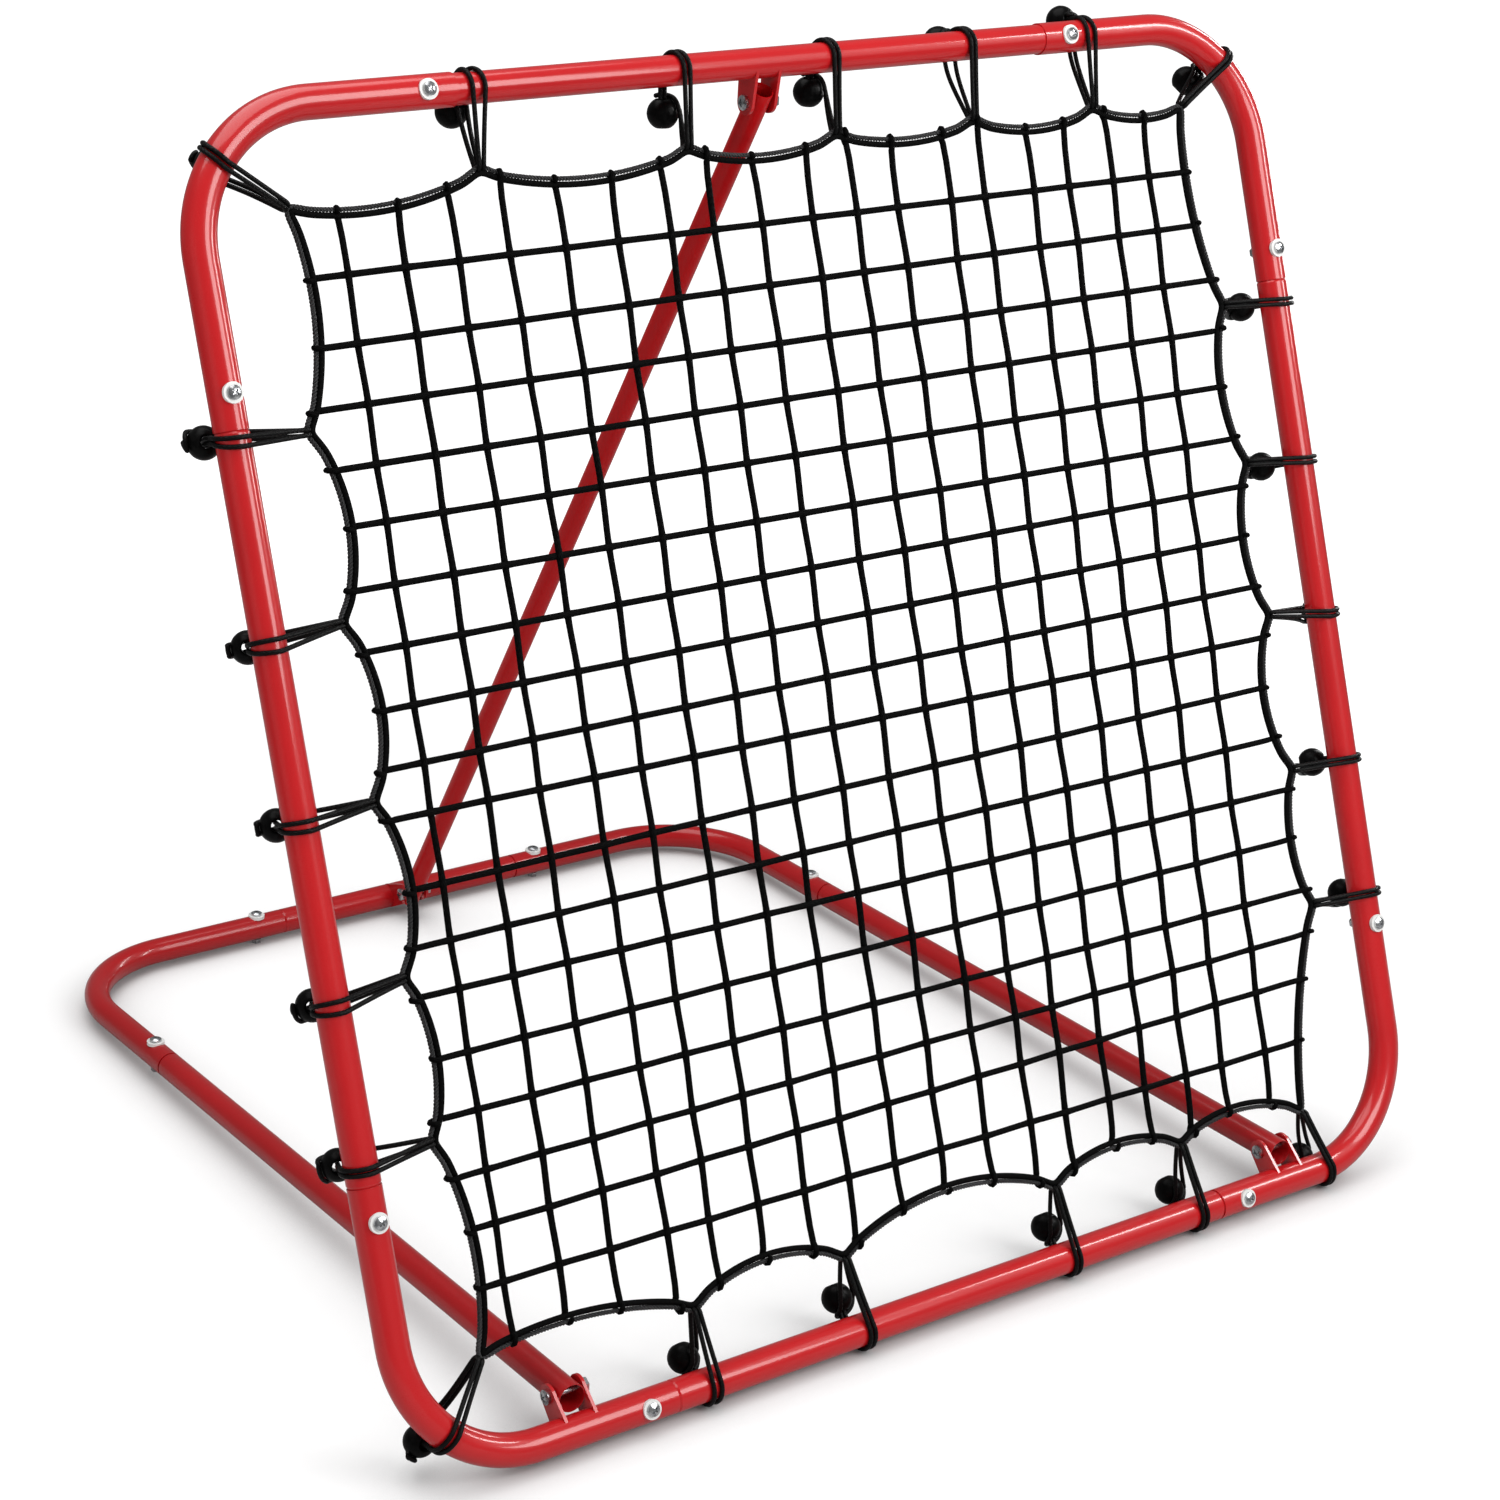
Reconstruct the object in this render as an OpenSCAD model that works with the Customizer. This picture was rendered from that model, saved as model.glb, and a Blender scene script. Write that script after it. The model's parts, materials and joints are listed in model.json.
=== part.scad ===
// Pitch back rebounder: a steel-tube frame leans back and holds a cord net on ball bungees.
// It is hinged to a U-shaped ground base, and one rear strut props it up from the base.
// Millimetres. +X is to the right seen from the front, +Y to the rear, +Z up. The origin lies
// on the ground, midway between the foremost and the rearmost point.

/* [Front frame] */
// Width between the axes of the side tubes
frame_w = 975; // [850:5:1150]
// Height along the slope, between the axes of the top and bottom tubes
frame_h = 955; // [850:5:1150]
// Angle of the frame above the ground
frame_lean = 68.8; // [62:0.2:74]
// Outside diameter of the frame tubes
tube_d = 25; // [22:0.5:28]
// Wall of every tube
tube_wall = 0.8; // [0.6:0.1:1.4]
// Centreline radius of the frame's corner bends
bend_r = 100; // [70:5:130]
// Distance of a corner bolt from the point where the two tube axes would meet
corner_bolt = 190; // [170:5:230]

/* [Tube joints] */
// How far a corner tube runs past its bolt
corner_past = 25; // [18:1:35]
// How far the thinner tube end reaches inside the corner tube
sleeve_in = 50; // [40:1:60]
// Length of the taper at a thinned tube end
taper_len = 2; // [1.5:0.5:5]
// Radial clearance of a tube end inside a corner tube
sleeve_gap = 0.15; // [0.12:0.01:0.2]

/* [Ground base] */
// Distance of a base side tube's axis inside the frame's side tube axis
base_inset = 134.5; // [131:0.5:170]
// Ground distance between the frame's bottom tube axis and the rear tube axis
base_depth = 850; // [700:5:950]
// Outside diameter of the base tubes
base_d = 22.5; // [20:0.5:25]
// Centreline radius of the base's corner bends
base_bend_r = 100; // [70:5:130]
// Rear tube bolt, from the point where the base's tube axes would meet
rear_bolt = 200; // [180:5:230]
// Side tube bolt, from the same point
side_bolt = 190; // [170:5:230]

/* [Strut] */
// Outside diameter of the strut
strut_d = 18; // [16:0.5:22]
// How far each hinged tube runs past its hinge bolt
end_past = 11; // [9:0.5:13]
// Angle above level of the strut's foot bolt, seen from the rear tube
foot_tilt = 25; // [15:1:40]

/* [Brackets] */
// Hinge bolt's offset from the tube axis, along the frame's slope
pivot_in = 26.7; // [25:0.1:30]
// Hinge bolt's offset from the tube axis, behind the frame
pivot_back = 12.5; // [10:0.5:16]
// Thickness of an ear plate
ear_t = 2.5; // [2:0.1:4]
// Radius of an ear's rounded tip
ear_tip_r = 9.5; // [8:0.5:11]
// Half the breadth of an ear where it meets the tube
ear_root = 11.5; // [9:0.5:12]
// Side clearance between an ear and the tube end that it holds
ear_gap = 0.3; // [0.2:0.05:0.5]

/* [Fasteners] */
// Corner bolt diameter
bolt_d = 5; // [4:0.5:6]
// Corner bolt head diameter
bolt_head_d = 10; // [9:0.5:12]
// Corner bolt head height
bolt_head_h = 3.4; // [2.5:0.1:4]
// Saddle washer diameter
washer_d = 15; // [12:0.5:17]
// Thickness of a saddle washer over the tube's crown
washer_t = 1.4; // [1:0.1:2]
// Corner nut, across its flats
nut_af = 8; // [7:0.5:10]
// Corner nut height
nut_h = 4; // [3:0.5:5]
// Hinge bolt diameter
pivot_d = 6; // [5:0.5:7]
// Hinge bolt head diameter
pivot_head_d = 11.5; // [10:0.5:13]
// Hinge bolt head height
pivot_head_h = 4; // [3:0.1:5]
// Hinge nut, across its flats
pivot_nut_af = 10; // [9:0.5:11]
// Hinge nut height
pivot_nut_h = 5; // [4:0.5:6]
// Radial clearance of a bolt in its drilled hole
hole_gap = 0.08; // [0.04:0.01:0.1]

/* [Net] */
// Distance from a tube axis to the net's edge at each bungee
net_inset = 59; // [50:1:75]
// Thickness of the mesh cord
mesh_d = 5; // [3:0.1:5.5]
// Distance from a side tube's axis to the first upright mesh cord, at half height
mesh_side = 113.5; // [106:0.5:124]
// Distance from the top or bottom tube's axis to the first level mesh cord
mesh_end = 117; // [108:0.5:126]
// Upright mesh cords
mesh_columns = 18; // [10:1:18]
// Level mesh cords
mesh_rows = 18; // [10:1:18]
// Sideways lean of the upright mesh cords
mesh_lean = 1.3; // [0:0.1:2]
// Thickness of the smooth border cord
border_d = 4.6; // [3.5:0.1:6]
// Thickness of the twisted hem rope outside the border cord
rope_d = 4.2; // [3:0.1:5]

/* [Bungees] */
// Thickness of the elastic cord
cord_d = 4; // [3:0.2:5]
// Diameter of a bungee ball
ball_d = 24; // [20:0.5:28]
// Half the angle between the two strands of a bungee loop
strand_spread = 8; // [5:0.5:10]

/* [Hidden] */
$fn = 64;

powder_red = [0.78, 0.11, 0.13];
zinc = [0.75, 0.76, 0.78];
washer_white = [0.92, 0.92, 0.90];
cord_black = [0.06, 0.06, 0.065];
ball_black = [0.03, 0.03, 0.03];

// Bungees along each side: the place, the ball's angle round the tube from straight outward to
// the rear, and the ball's shift along the tube as a share of its diameter. The place is a share
// of the side's width at the top and bottom, and of the stretch between the bolts on the left
// and right. The bottom tube's first bungee stands at bend_bungee instead.
top_bungees = [[-0.266, 116, 0], [-0.081, 142, -0.08], [0.061, 133, -0.09], [0.2, 72, -0.07], [0.328, 53, -0.03]];
left_bungees = [[0.942, 74, 0.17], [0.711, 87, -0.23], [0.492, 82, -0.15], [0.276, 89, -0.3], [0.073, 84, -0.15]];
right_bungees = [[0.93, 118, 0.12], [0.701, 128, 0.25], [0.478, 54, 0.3], [0.251, 107, 0.13], [0.05, 82, 0.16]];
bottom_bungees = [
    [0.4, 102, -0.3], [0.252, 123, -0.09], [0.113, 132, -0.14], [-0.103, 133, -0.13], [-0.246, 124, 0.05]
];
// Ball angle and shift of the bungees on the top left, top right and bottom left bends.
corner_bungees = [[102, 0], [117, 0.12], [68, 0.04]];
// Distance inside the right tube's axis of the bungee next to the bottom right bend.
bend_bungee = 97;

// Depth of the net edge's scallops, clockwise from the top left corner.
top_scallops = [12, 14, 11, 10, 11, 8];
right_scallops = [11, 15, 16, 19, 13, 9];
bottom_scallops = [16, 16, 25, 18, 13];
left_scallops = [14, 13, 16, 17, 18, 14];

// Clearances that keep touching pieces apart.
seat = 0.1;         // between a curved seat and what lies on it
weld_gap = 0.05;    // between an ear's saddle and its tube
loop_gap = 0.6;     // between a bungee loop and its tube
bend_gap = 0.4;     // more of that round a bend
inner_tip = 0.1;    // half the blunt inner tip where a loop's strands part
ball_seat = 0.15;   // between a bungee ball and its strands
knot_gap = 0.25;    // round the two cord ends in a ball's bore
arc_steps = 18;     // flats round a loop's outline
ring_gap = 0.15;    // between the net's border cord, hem rope and mesh
slot_gap = 0.35;    // on each side of the foot bolt in the foot bracket's open slots
thread_gap = 0.05;  // between a bolt and its nut

// Angle between a ball's bore, where its cord ends leave it, and the line to the tube's axis.
knot_turn = 75;

// Tubes and how they fit into each other.
tube_r = tube_d / 2;
base_r = base_d / 2;
sleeve_d = tube_d - 2 * tube_wall - 2 * sleeve_gap;
base_sleeve_d = base_d - 2 * tube_wall - 2 * sleeve_gap;
corner_leg = corner_bolt + corner_past;
rear_leg = rear_bolt + corner_past;
side_leg = side_bolt + corner_past;

// Heights and the place of the frame: the bungee loops under the bottom tube and the nuts
// under the rear tube stand on the ground.
loop_out = loop_gap + cord_d;
front_z = tube_r + loop_out;
rear_z = base_r + seat + nut_h;
front_y = -(base_depth + base_r - front_z) / 2;

// A point of the frame, u up its slope and n out of its front, as [y, z].
function on_frame(u, n) = [
    front_y + u * cos(frame_lean) - n * sin(frame_lean),
    front_z + u * sin(frame_lean) + n * cos(frame_lean)
];

// Hinge places, as [y, z].
pivot_reach = norm([pivot_in, pivot_back]);
pivot_dip = atan2(pivot_back, pivot_in);
fold_p = on_frame(pivot_in, -pivot_back);
top_p = on_frame(frame_h - pivot_in, -pivot_back);
rear_p = [front_y + base_depth, rear_z];
foot_p = rear_p + pivot_reach * [-cos(foot_tilt), sin(foot_tilt)];
base_len = norm(rear_p - fold_p);
base_slope = asin((fold_p[1] - rear_p[1]) / base_len);
strut_len = norm(foot_p - top_p);
strut_slope = asin((top_p[1] - foot_p[1]) / strut_len);

// The strut turns on the frame by this share of the frame's fold, so that the two end
// nearly parallel. Its foot then leaves the open slots in the direction foot_exit.
strut_share = 0.817;
function turned(p, centre) = [p[1] - centre[1], centre[0] - p[0]];
foot_exit = turned(foot_p, fold_p) + strut_share * turned(foot_p, top_p);

// Width between the axes of the base's side tubes.
base_w = frame_w - 2 * base_inset;

// Net edge: the places of the bungee hooks, clockwise from the top left corner.
function side_place(b) = corner_bolt + b[0] * (frame_h - 2 * corner_bolt);
function bottom_place(i) = i == 0 ? frame_w / 2 - bend_bungee : bottom_bungees[i][0] * frame_w;
hook_side = frame_w / 2 - net_inset;
bend_45 = bend_r * (1 - cos(45));
corner_hook = bend_45 + net_inset * cos(45);
hooks = concat(
    [[-frame_w / 2 + corner_hook, frame_h - corner_hook]],
    [for (b = top_bungees) [b[0] * frame_w, frame_h - net_inset]],
    [[frame_w / 2 - corner_hook, frame_h - corner_hook]],
    [for (b = right_bungees) [hook_side, side_place(b)]],
    [for (i = [0:len(bottom_bungees) - 1]) [bottom_place(i), net_inset]],
    [[-frame_w / 2 + corner_hook, corner_hook]],
    [for (i = [len(left_bungees) - 1:-1:0]) [-hook_side, side_place(left_bungees[i])]]
);
scallops = concat(top_scallops, right_scallops, bottom_scallops, left_scallops);
rope_out = rope_d + ring_gap;

// Half the height of a loop's nose, and how far it stays from its hook: the hem rope ends there
// in a point, and in a longer one at the corners.
nose_h = 0.55 * cord_d;
nose_side = 1.25 * rope_out + ring_gap;
nose_corner = 2.1 * rope_out + ring_gap;

// ---------- tube work ----------

module ring(d) {
    difference() {
        circle(d = d);
        circle(d = d - 2 * tube_wall);
    }
}

// A bent tube whose two legs' axes would meet at the origin: one leg along +X, one along +Y.
module corner_tube(d, r, leg_x, leg_y) {
    translate([r, r, 0]) rotate([0, 0, 180]) rotate_extrude(angle = 90) translate([r, 0]) ring(d);
    translate([r, 0, 0]) rotate([0, 90, 0]) linear_extrude(leg_x - r) ring(d);
    translate([0, r, 0]) rotate([-90, 0, 0]) linear_extrude(leg_y - r) ring(d);
}

// A straight tube along +Z from z0 to z1 whose ends past the shoulders are thinned to end_d.
// A shoulder of undef leaves that end at full size.
module sleeved_tube(d, end_d, z0, z1, shoulder_0, shoulder_1) {
    r = d / 2;
    e = end_d / 2;
    low = shoulder_0 == undef ? [[r, z0]]
        : [[e, z0], [e, shoulder_0], [r, shoulder_0 + taper_len]];
    high = shoulder_1 == undef ? [[r, z1]]
        : [[r, shoulder_1 - taper_len], [e, shoulder_1], [e, z1]];
    outer = concat(low, high);
    inner = [for (i = [len(outer) - 1:-1:0]) [outer[i][0] - tube_wall, outer[i][1]]];
    rotate_extrude() polygon(concat(outer, inner));
}

module drill(d, len) {
    cylinder(d = d, h = len, center = true);
}

// ---------- fasteners ----------

// A pan-head bolt: the head's underside at z = 0, the shank down along -Z.
module pan_bolt(d, len, head_d, head_h) {
    slot_l = head_d * 0.52;
    slot_w = head_d * 0.13;
    difference() {
        union() {
            rotate_extrude() intersection() {
                square([head_d / 2, head_h]);
                translate([0, head_h - 0.9 * head_d]) circle(r = 0.9 * head_d);
            }
            translate([0, 0, -len]) cylinder(d = d, h = len);
        }
        for (a = [45, 135]) rotate([0, 0, a])
            translate([0, 0, head_h]) cube([slot_l, slot_w, head_h], center = true);
    }
}

module hex_nut(d, af, h) {
    difference() {
        cylinder(r = af / 2 / cos(30), h = h, $fn = 6);
        translate([0, 0, h / 2]) drill(d + 2 * thread_gap, 2 * h);
    }
}

// A round washer at z = over_r, hollowed underneath to sit on a tube of radius over_r along X.
module saddle_washer(over_r) {
    difference() {
        translate([0, 0, over_r - washer_t]) cylinder(d = washer_d, h = 2 * washer_t);
        rotate([0, 90, 0]) drill(2 * (over_r + seat), 2 * washer_d);
        translate([0, 0, over_r]) drill(bolt_d + 4 * hole_gap, 4 * washer_t);
    }
}

// Across a tube of radius r along X: the bolt from the front (+Z), its washer and its nut.
module through_bolt(r) {
    translate([0, 0, r + washer_t])
        pan_bolt(bolt_d, 2 * r + washer_t + seat + nut_h - 0.2, bolt_head_d, bolt_head_h);
}

module through_nut(r) {
    translate([0, 0, -r - seat - nut_h]) hex_nut(bolt_d, nut_af, nut_h);
}

// A hinge bolt along X through ears that stand gap apart, and its nut.
module hinge_bolt(gap) {
    grip = gap + 2 * ear_t;
    translate([-grip / 2, 0, 0]) rotate([0, -90, 0])
        pan_bolt(pivot_d, grip + pivot_nut_h + 1, pivot_head_d, pivot_head_h);
}

module hinge_nut(gap) {
    translate([gap / 2 + ear_t, 0, 0]) rotate([0, 90, 0]) hex_nut(pivot_d, pivot_nut_af, pivot_nut_h);
}

// ---------- brackets ----------

// One ear's outline: the tube at the origin, the hinge bolt at [pivot_reach, 0].
module ear_outline(over_r) {
    far = norm([pivot_reach, ear_root]);
    a = 180 - atan2(ear_root, pivot_reach) - acos(ear_tip_r / far);
    tip = [pivot_reach + ear_tip_r * cos(a), ear_tip_r * sin(a)];
    difference() {
        union() {
            polygon([[0, ear_root], tip, [tip[0], -tip[1]], [0, -ear_root]]);
            translate([pivot_reach, 0]) circle(r = ear_tip_r);
        }
        circle(r = over_r + weld_gap);
    }
}

// Two ears on a tube along X, reaching out along +Y. slot_angle opens a slot to the ear's edge.
module ears(gap, over_r, slot_angle = undef) {
    for (side = [-1, 1])
        translate([side * (gap + ear_t) / 2, 0, 0]) rotate([90, 0, 90])
            linear_extrude(ear_t, center = true) difference() {
                ear_outline(over_r);
                if (slot_angle == undef) {
                    translate([pivot_reach, 0]) circle(d = pivot_d + 2 * hole_gap);
                } else {
                    translate([pivot_reach, 0]) circle(d = pivot_d + 2 * slot_gap);
                    translate([pivot_reach, 0]) rotate(slot_angle)
                        translate([0, -pivot_d / 2 - slot_gap]) square([2 * ear_tip_r, pivot_d + 2 * slot_gap]);
                }
            }
}

// ---------- bungees and net ----------

// Stands children at a point of the frame: +Y outward from the frame along angle, +Z to the front.
module at_tube(p, angle) {
    translate([p[0], p[1], 0]) rotate([0, 0, angle - 90]) children();
}

// Rise of the straight line from a nose of half height nose_h to a circle of radius r at far.
function strand_slope(far, r, nose_h) = asin(r / norm([far, nose_h])) - atan2(nose_h, far);

// A drop outline: blunt tip at [start, 0] and a round end about [far, 0], as flats that lie
// inside the circle of radius r, or outside it.
module drop_outline(far, r, start, start_h, outside = false) {
    b = 90 + strand_slope(far - start, r, start_h);
    reach = outside ? r / cos(b / arc_steps) : r;
    round_end = [for (i = [0:arc_steps]) let (t = b * (1 - 2 * i / arc_steps))
        [far + reach * cos(t), reach * sin(t)]];
    polygon(concat([[start, start_h]], round_end, [[start, -start_h]]));
}

// One strand of a loop, as a flat band round a tube at [far, 0]: its nose is at the origin.
module strand(far, over_r) {
    out_r = over_r + loop_out;
    b = strand_slope(far, out_r, nose_h);
    inner_start = (cord_d / cos(b) - nose_h + inner_tip) / tan(b);
    rotate([90, 0, 90]) linear_extrude(cord_d, center = true) difference() {
        drop_outline(far, out_r, 0, nose_h);
        drop_outline(far, over_r + loop_gap, inner_start, inner_tip, outside = true);
    }
}

// A bungee loop round a tube along X at the origin; its nose points down -Y to the net.
module bungee_loop(over_r, nose) {
    for (side = [-1, 1])
        translate([0, -nose, 0]) rotate([0, 0, side * strand_spread])
            strand(nose / cos(strand_spread), over_r);
}

// A bungee ball behind its tube, resting against the loop's two rear strands.
module bungee_ball(over_r, nose, angle, shift_share) {
    out_r = over_r + loop_out;
    ball_r = ball_d / 2;
    shift = shift_share * ball_d;
    turn = 90 + strand_slope(nose, out_r, nose_h);
    apart = (nose + (out_r + ball_r) * cos(angle)) * tan(strand_spread) - cord_d / 2 - abs(shift);
    sunk = ball_r - sqrt(ball_r * ball_r - pow(max(0, apart), 2));
    away = (out_r + ball_r - sunk + ball_seat) / (angle > turn ? cos(angle - turn) : 1);
    translate([shift, away * cos(angle), -away * sin(angle)])
        rotate([90 - angle - knot_turn, 0, 0]) difference() {
            sphere(d = ball_d);
            cylinder(r = cord_d + knot_gap, h = ball_d);
        }
}

// Every bungee as [tube point, outward angle, tube radius, nose distance, ball angle, ball shift].
function top_radius(x) = abs(x) + 3 * cord_d > frame_w / 2 - corner_leg ? tube_r : sleeve_d / 2;
side_nose = net_inset - nose_side;
corner_nose = net_inset - nose_corner;
top_places = [
    for (b = top_bungees)
        [[b[0] * frame_w, frame_h], 90, top_radius(b[0] * frame_w), side_nose, b[1], b[2]]
];
left_places = [
    for (b = left_bungees) [[-frame_w / 2, side_place(b)], 180, tube_r, side_nose, b[1], b[2]]
];
right_places = [
    for (b = right_bungees) [[frame_w / 2, side_place(b)], 0, tube_r, side_nose, b[1], b[2]]
];
bottom_places = [
    for (i = [0:len(bottom_bungees) - 1])
        let (b = bottom_bungees[i])
            [[bottom_place(i), 0], 270, tube_r, i == 0 ? corner_nose : side_nose, b[1], b[2]]
];
bend_x = frame_w / 2 - bend_45;
corner_places = [
    for (c = [[-1, 1, 135, 0], [1, 1, 45, 1], [-1, 0, 225, 2]])
        [[c[0] * bend_x, c[1] == 1 ? frame_h - bend_45 : bend_45], c[2], tube_r + bend_gap,
         corner_nose, corner_bungees[c[3]][0], corner_bungees[c[3]][1]]
];

module loops(places) {
    in_frame() color(cord_black) for (p = places) at_tube(p[0], p[1]) bungee_loop(p[2], p[3]);
}

module balls(places) {
    in_frame() color(ball_black) for (p = places) at_tube(p[0], p[1]) bungee_ball(p[2], p[3], p[4], p[5]);
}

// The region inside the net's scalloped edge, pulled in by inset.
module net_region(inset) {
    difference() {
        polygon([for (h = hooks) [h[0] * 1.06, frame_h / 2 + (h[1] - frame_h / 2) * 1.06]]);
        for (i = [0:len(hooks) - 1]) {
            a = hooks[i];
            b = hooks[(i + 1) % len(hooks)];
            chord = norm(b - a);
            out = [a[1] - b[1], b[0] - a[0]] / chord;
            r = (chord * chord / 4 + scallops[i] * scallops[i]) / (2 * scallops[i]);
            translate((a + b) / 2 + (r - scallops[i]) * out) circle(r = r + inset);
        }
    }
}

module net_band(outer, inner, thickness) {
    in_frame() color(cord_black) linear_extrude(thickness, center = true) difference() {
        net_region(outer);
        net_region(inner);
    }
}

// ---------- standing places ----------

// The frame's own space: +X right, +Y up the slope, +Z out of the front, bottom tube axis at 0.
module in_frame() {
    translate([0, front_y, front_z]) rotate([frame_lean, 0, 0]) children();
}

// The base's own space: the fold axis at 0, +Y to the rear along the base.
module in_base() {
    translate([0, fold_p[0], fold_p[1]]) rotate([-base_slope, 0, 0]) children();
}

// The strut's own space: its top hinge at 0, +Y down to its foot.
module in_strut() {
    translate([0, top_p[0], top_p[1]]) rotate([-strut_slope, 0, 0]) children();
}

// The four corners of the frame, and the frame bolts two by two on them.
module at_frame_corner(side, top) {
    in_frame() translate([side * frame_w / 2, top * frame_h, 0])
        mirror([side == 1 ? 1 : 0, 0, 0]) mirror([0, top, 0]) children();
}

module at_frame_bolts() {
    in_frame() for (side = [-1, 1], top = [0, 1]) {
        translate([side * (frame_w / 2 - corner_bolt), top * frame_h, 0]) children();
        translate([side * frame_w / 2, top == 1 ? frame_h - corner_bolt : corner_bolt, 0])
            rotate([0, 0, 90]) children();
    }
}

// The base's bolts: the rear ones stand upright, so that their nuts sit flat on the ground.
module at_base_bolts() {
    in_base() for (side = [-1, 1]) {
        translate([side * (base_w / 2 - rear_bolt), base_len, 0]) rotate([base_slope, 0, 0]) children();
        translate([side * base_w / 2, base_len - side_bolt, 0]) rotate([0, 0, 90]) children();
    }
}

// ---------- front frame ----------

module frame_corner(side, top) {
    color(powder_red) at_frame_corner(side, top) difference() {
        corner_tube(tube_d, bend_r, corner_leg, corner_leg);
        translate([corner_bolt, 0, 0]) drill(bolt_d + 2 * hole_gap, 2 * tube_d);
        translate([0, corner_bolt, 0]) drill(bolt_d + 2 * hole_gap, 2 * tube_d);
    }
}

// A frame tube along +Z whose ends lie in the corner tubes of a side of the given length.
module frame_side(length, full_d) {
    half = length / 2;
    reach = half - corner_leg + sleeve_in;
    shoulder = half - corner_leg - seat;
    difference() {
        if (full_d > sleeve_d) {
            sleeved_tube(full_d, sleeve_d, -reach, reach, -shoulder, shoulder);
        } else {
            sleeved_tube(full_d, sleeve_d, -reach, reach, undef, undef);
        }
        for (end = [-1, 1]) translate([0, 0, end * (half - corner_bolt)]) rotate([90, 0, 0])
            drill(bolt_d + 2 * hole_gap, 2 * tube_d);
    }
}

module top_tube() {
    in_frame() color(powder_red) translate([0, frame_h, 0]) rotate([0, 90, 0]) rotate([0, 0, 90])
        frame_side(frame_w, sleeve_d);
}

module bottom_tube() {
    in_frame() color(powder_red) rotate([0, 90, 0]) rotate([0, 0, 90]) frame_side(frame_w, tube_d);
}

module upright(side) {
    in_frame() color(powder_red) translate([side * frame_w / 2, frame_h / 2, 0]) rotate([-90, 0, 0])
        frame_side(frame_h, tube_d);
}

module left_tube() { upright(-1); }
module right_tube() { upright(1); }
module corner_top_left() { frame_corner(-1, 1); }
module corner_top_right() { frame_corner(1, 1); }
module corner_bottom_left() { frame_corner(-1, 0); }
module corner_bottom_right() { frame_corner(1, 0); }

module strut_bracket() {
    in_frame() color(powder_red) translate([0, frame_h, 0]) rotate([180 + pivot_dip, 0, 0])
        ears(strut_d + 2 * ear_gap, sleeve_d / 2);
}

module base_bracket(side) {
    in_frame() color(powder_red) translate([side * base_w / 2, 0, 0]) rotate([-pivot_dip, 0, 0])
        ears(base_d + 2 * ear_gap, tube_r);
}

module base_bracket_left() { base_bracket(-1); }
module base_bracket_right() { base_bracket(1); }

module frame_bolts() { color(zinc) at_frame_bolts() through_bolt(tube_r); }
module frame_washers() { color(washer_white) at_frame_bolts() saddle_washer(tube_r); }
module frame_nuts() { color(zinc) at_frame_bolts() through_nut(tube_r); }

// ---------- net and bungees ----------

module net() {
    centre = [0, frame_h / 2];
    span = 1.2 * max(frame_w, frame_h);
    drift = -0.012 * frame_w;
    pitch_x = (frame_w - 2 * mesh_side) / (mesh_columns - 1);
    pitch_u = (frame_h - 2 * mesh_end) / (mesh_rows - 1);
    in_frame() color(cord_black) linear_extrude(mesh_d, center = true) intersection() {
        net_region(border_d + ring_gap);
        translate(centre) union() {
            for (i = [0:mesh_columns - 1])
                translate([(i - (mesh_columns - 1) / 2) * pitch_x + drift, 0])
                    rotate(-mesh_lean) square([mesh_d, span], center = true);
            for (i = [0:mesh_rows - 1])
                translate([0, (i - (mesh_rows - 1) / 2) * pitch_u])
                    square([span, mesh_d], center = true);
        }
    }
}

module net_border() { net_band(0, border_d, border_d); }
module net_hem_rope() { net_band(-rope_out, -ring_gap, rope_d); }

module bungee_cords_top() { loops(top_places); }
module bungee_cords_left() { loops(left_places); }
module bungee_cords_right() { loops(right_places); }
module bungee_cords_bottom() { loops(bottom_places); }
module bungee_cords_corners() { loops(corner_places); }
module bungee_balls_top() { balls(top_places); }
module bungee_balls_left() { balls(left_places); }
module bungee_balls_right() { balls(right_places); }
module bungee_balls_bottom() { balls(bottom_places); }
module bungee_balls_corners() { balls(corner_places); }

// ---------- ground base ----------

module base_tube(side) {
    shoulder = base_len - side_leg - seat;
    in_base() color(powder_red) translate([side * base_w / 2, 0, 0]) rotate([-90, 0, 0]) difference() {
        sleeved_tube(base_d, base_sleeve_d, -end_past, base_len - side_leg + sleeve_in, undef, shoulder);
        rotate([0, 90, 0]) drill(pivot_d + 2 * hole_gap, 2 * base_d);
        translate([0, 0, base_len - side_bolt]) rotate([90, 0, 0])
            drill(bolt_d + 2 * hole_gap, 2 * base_d);
    }
}

module base_corner(side) {
    in_base() color(powder_red) translate([side * base_w / 2, base_len, 0])
        mirror([side == 1 ? 1 : 0, 0, 0]) mirror([0, 1, 0]) difference() {
            corner_tube(base_d, base_bend_r, rear_leg, side_leg);
            translate([rear_bolt, 0, 0]) rotate([-base_slope, 0, 0])
                drill(bolt_d + 2 * hole_gap, 2 * base_d);
            translate([0, side_bolt, 0]) drill(bolt_d + 2 * hole_gap, 2 * base_d);
        }
}

module base_tube_left() { base_tube(-1); }
module base_tube_right() { base_tube(1); }
module base_corner_left() { base_corner(-1); }
module base_corner_right() { base_corner(1); }

module base_rear_tube() {
    reach = base_w / 2 - rear_leg + sleeve_in;
    shoulder = base_w / 2 - rear_leg - seat;
    in_base() color(powder_red) translate([0, base_len, 0]) rotate([base_slope, 0, 0]) rotate([0, 90, 0])
        difference() {
            sleeved_tube(base_d, base_sleeve_d, -reach, reach, -shoulder, shoulder);
            for (end = [-1, 1]) translate([0, 0, end * (base_w / 2 - rear_bolt)]) rotate([0, 90, 0])
                drill(bolt_d + 2 * hole_gap, 2 * base_d);
        }
}

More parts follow.
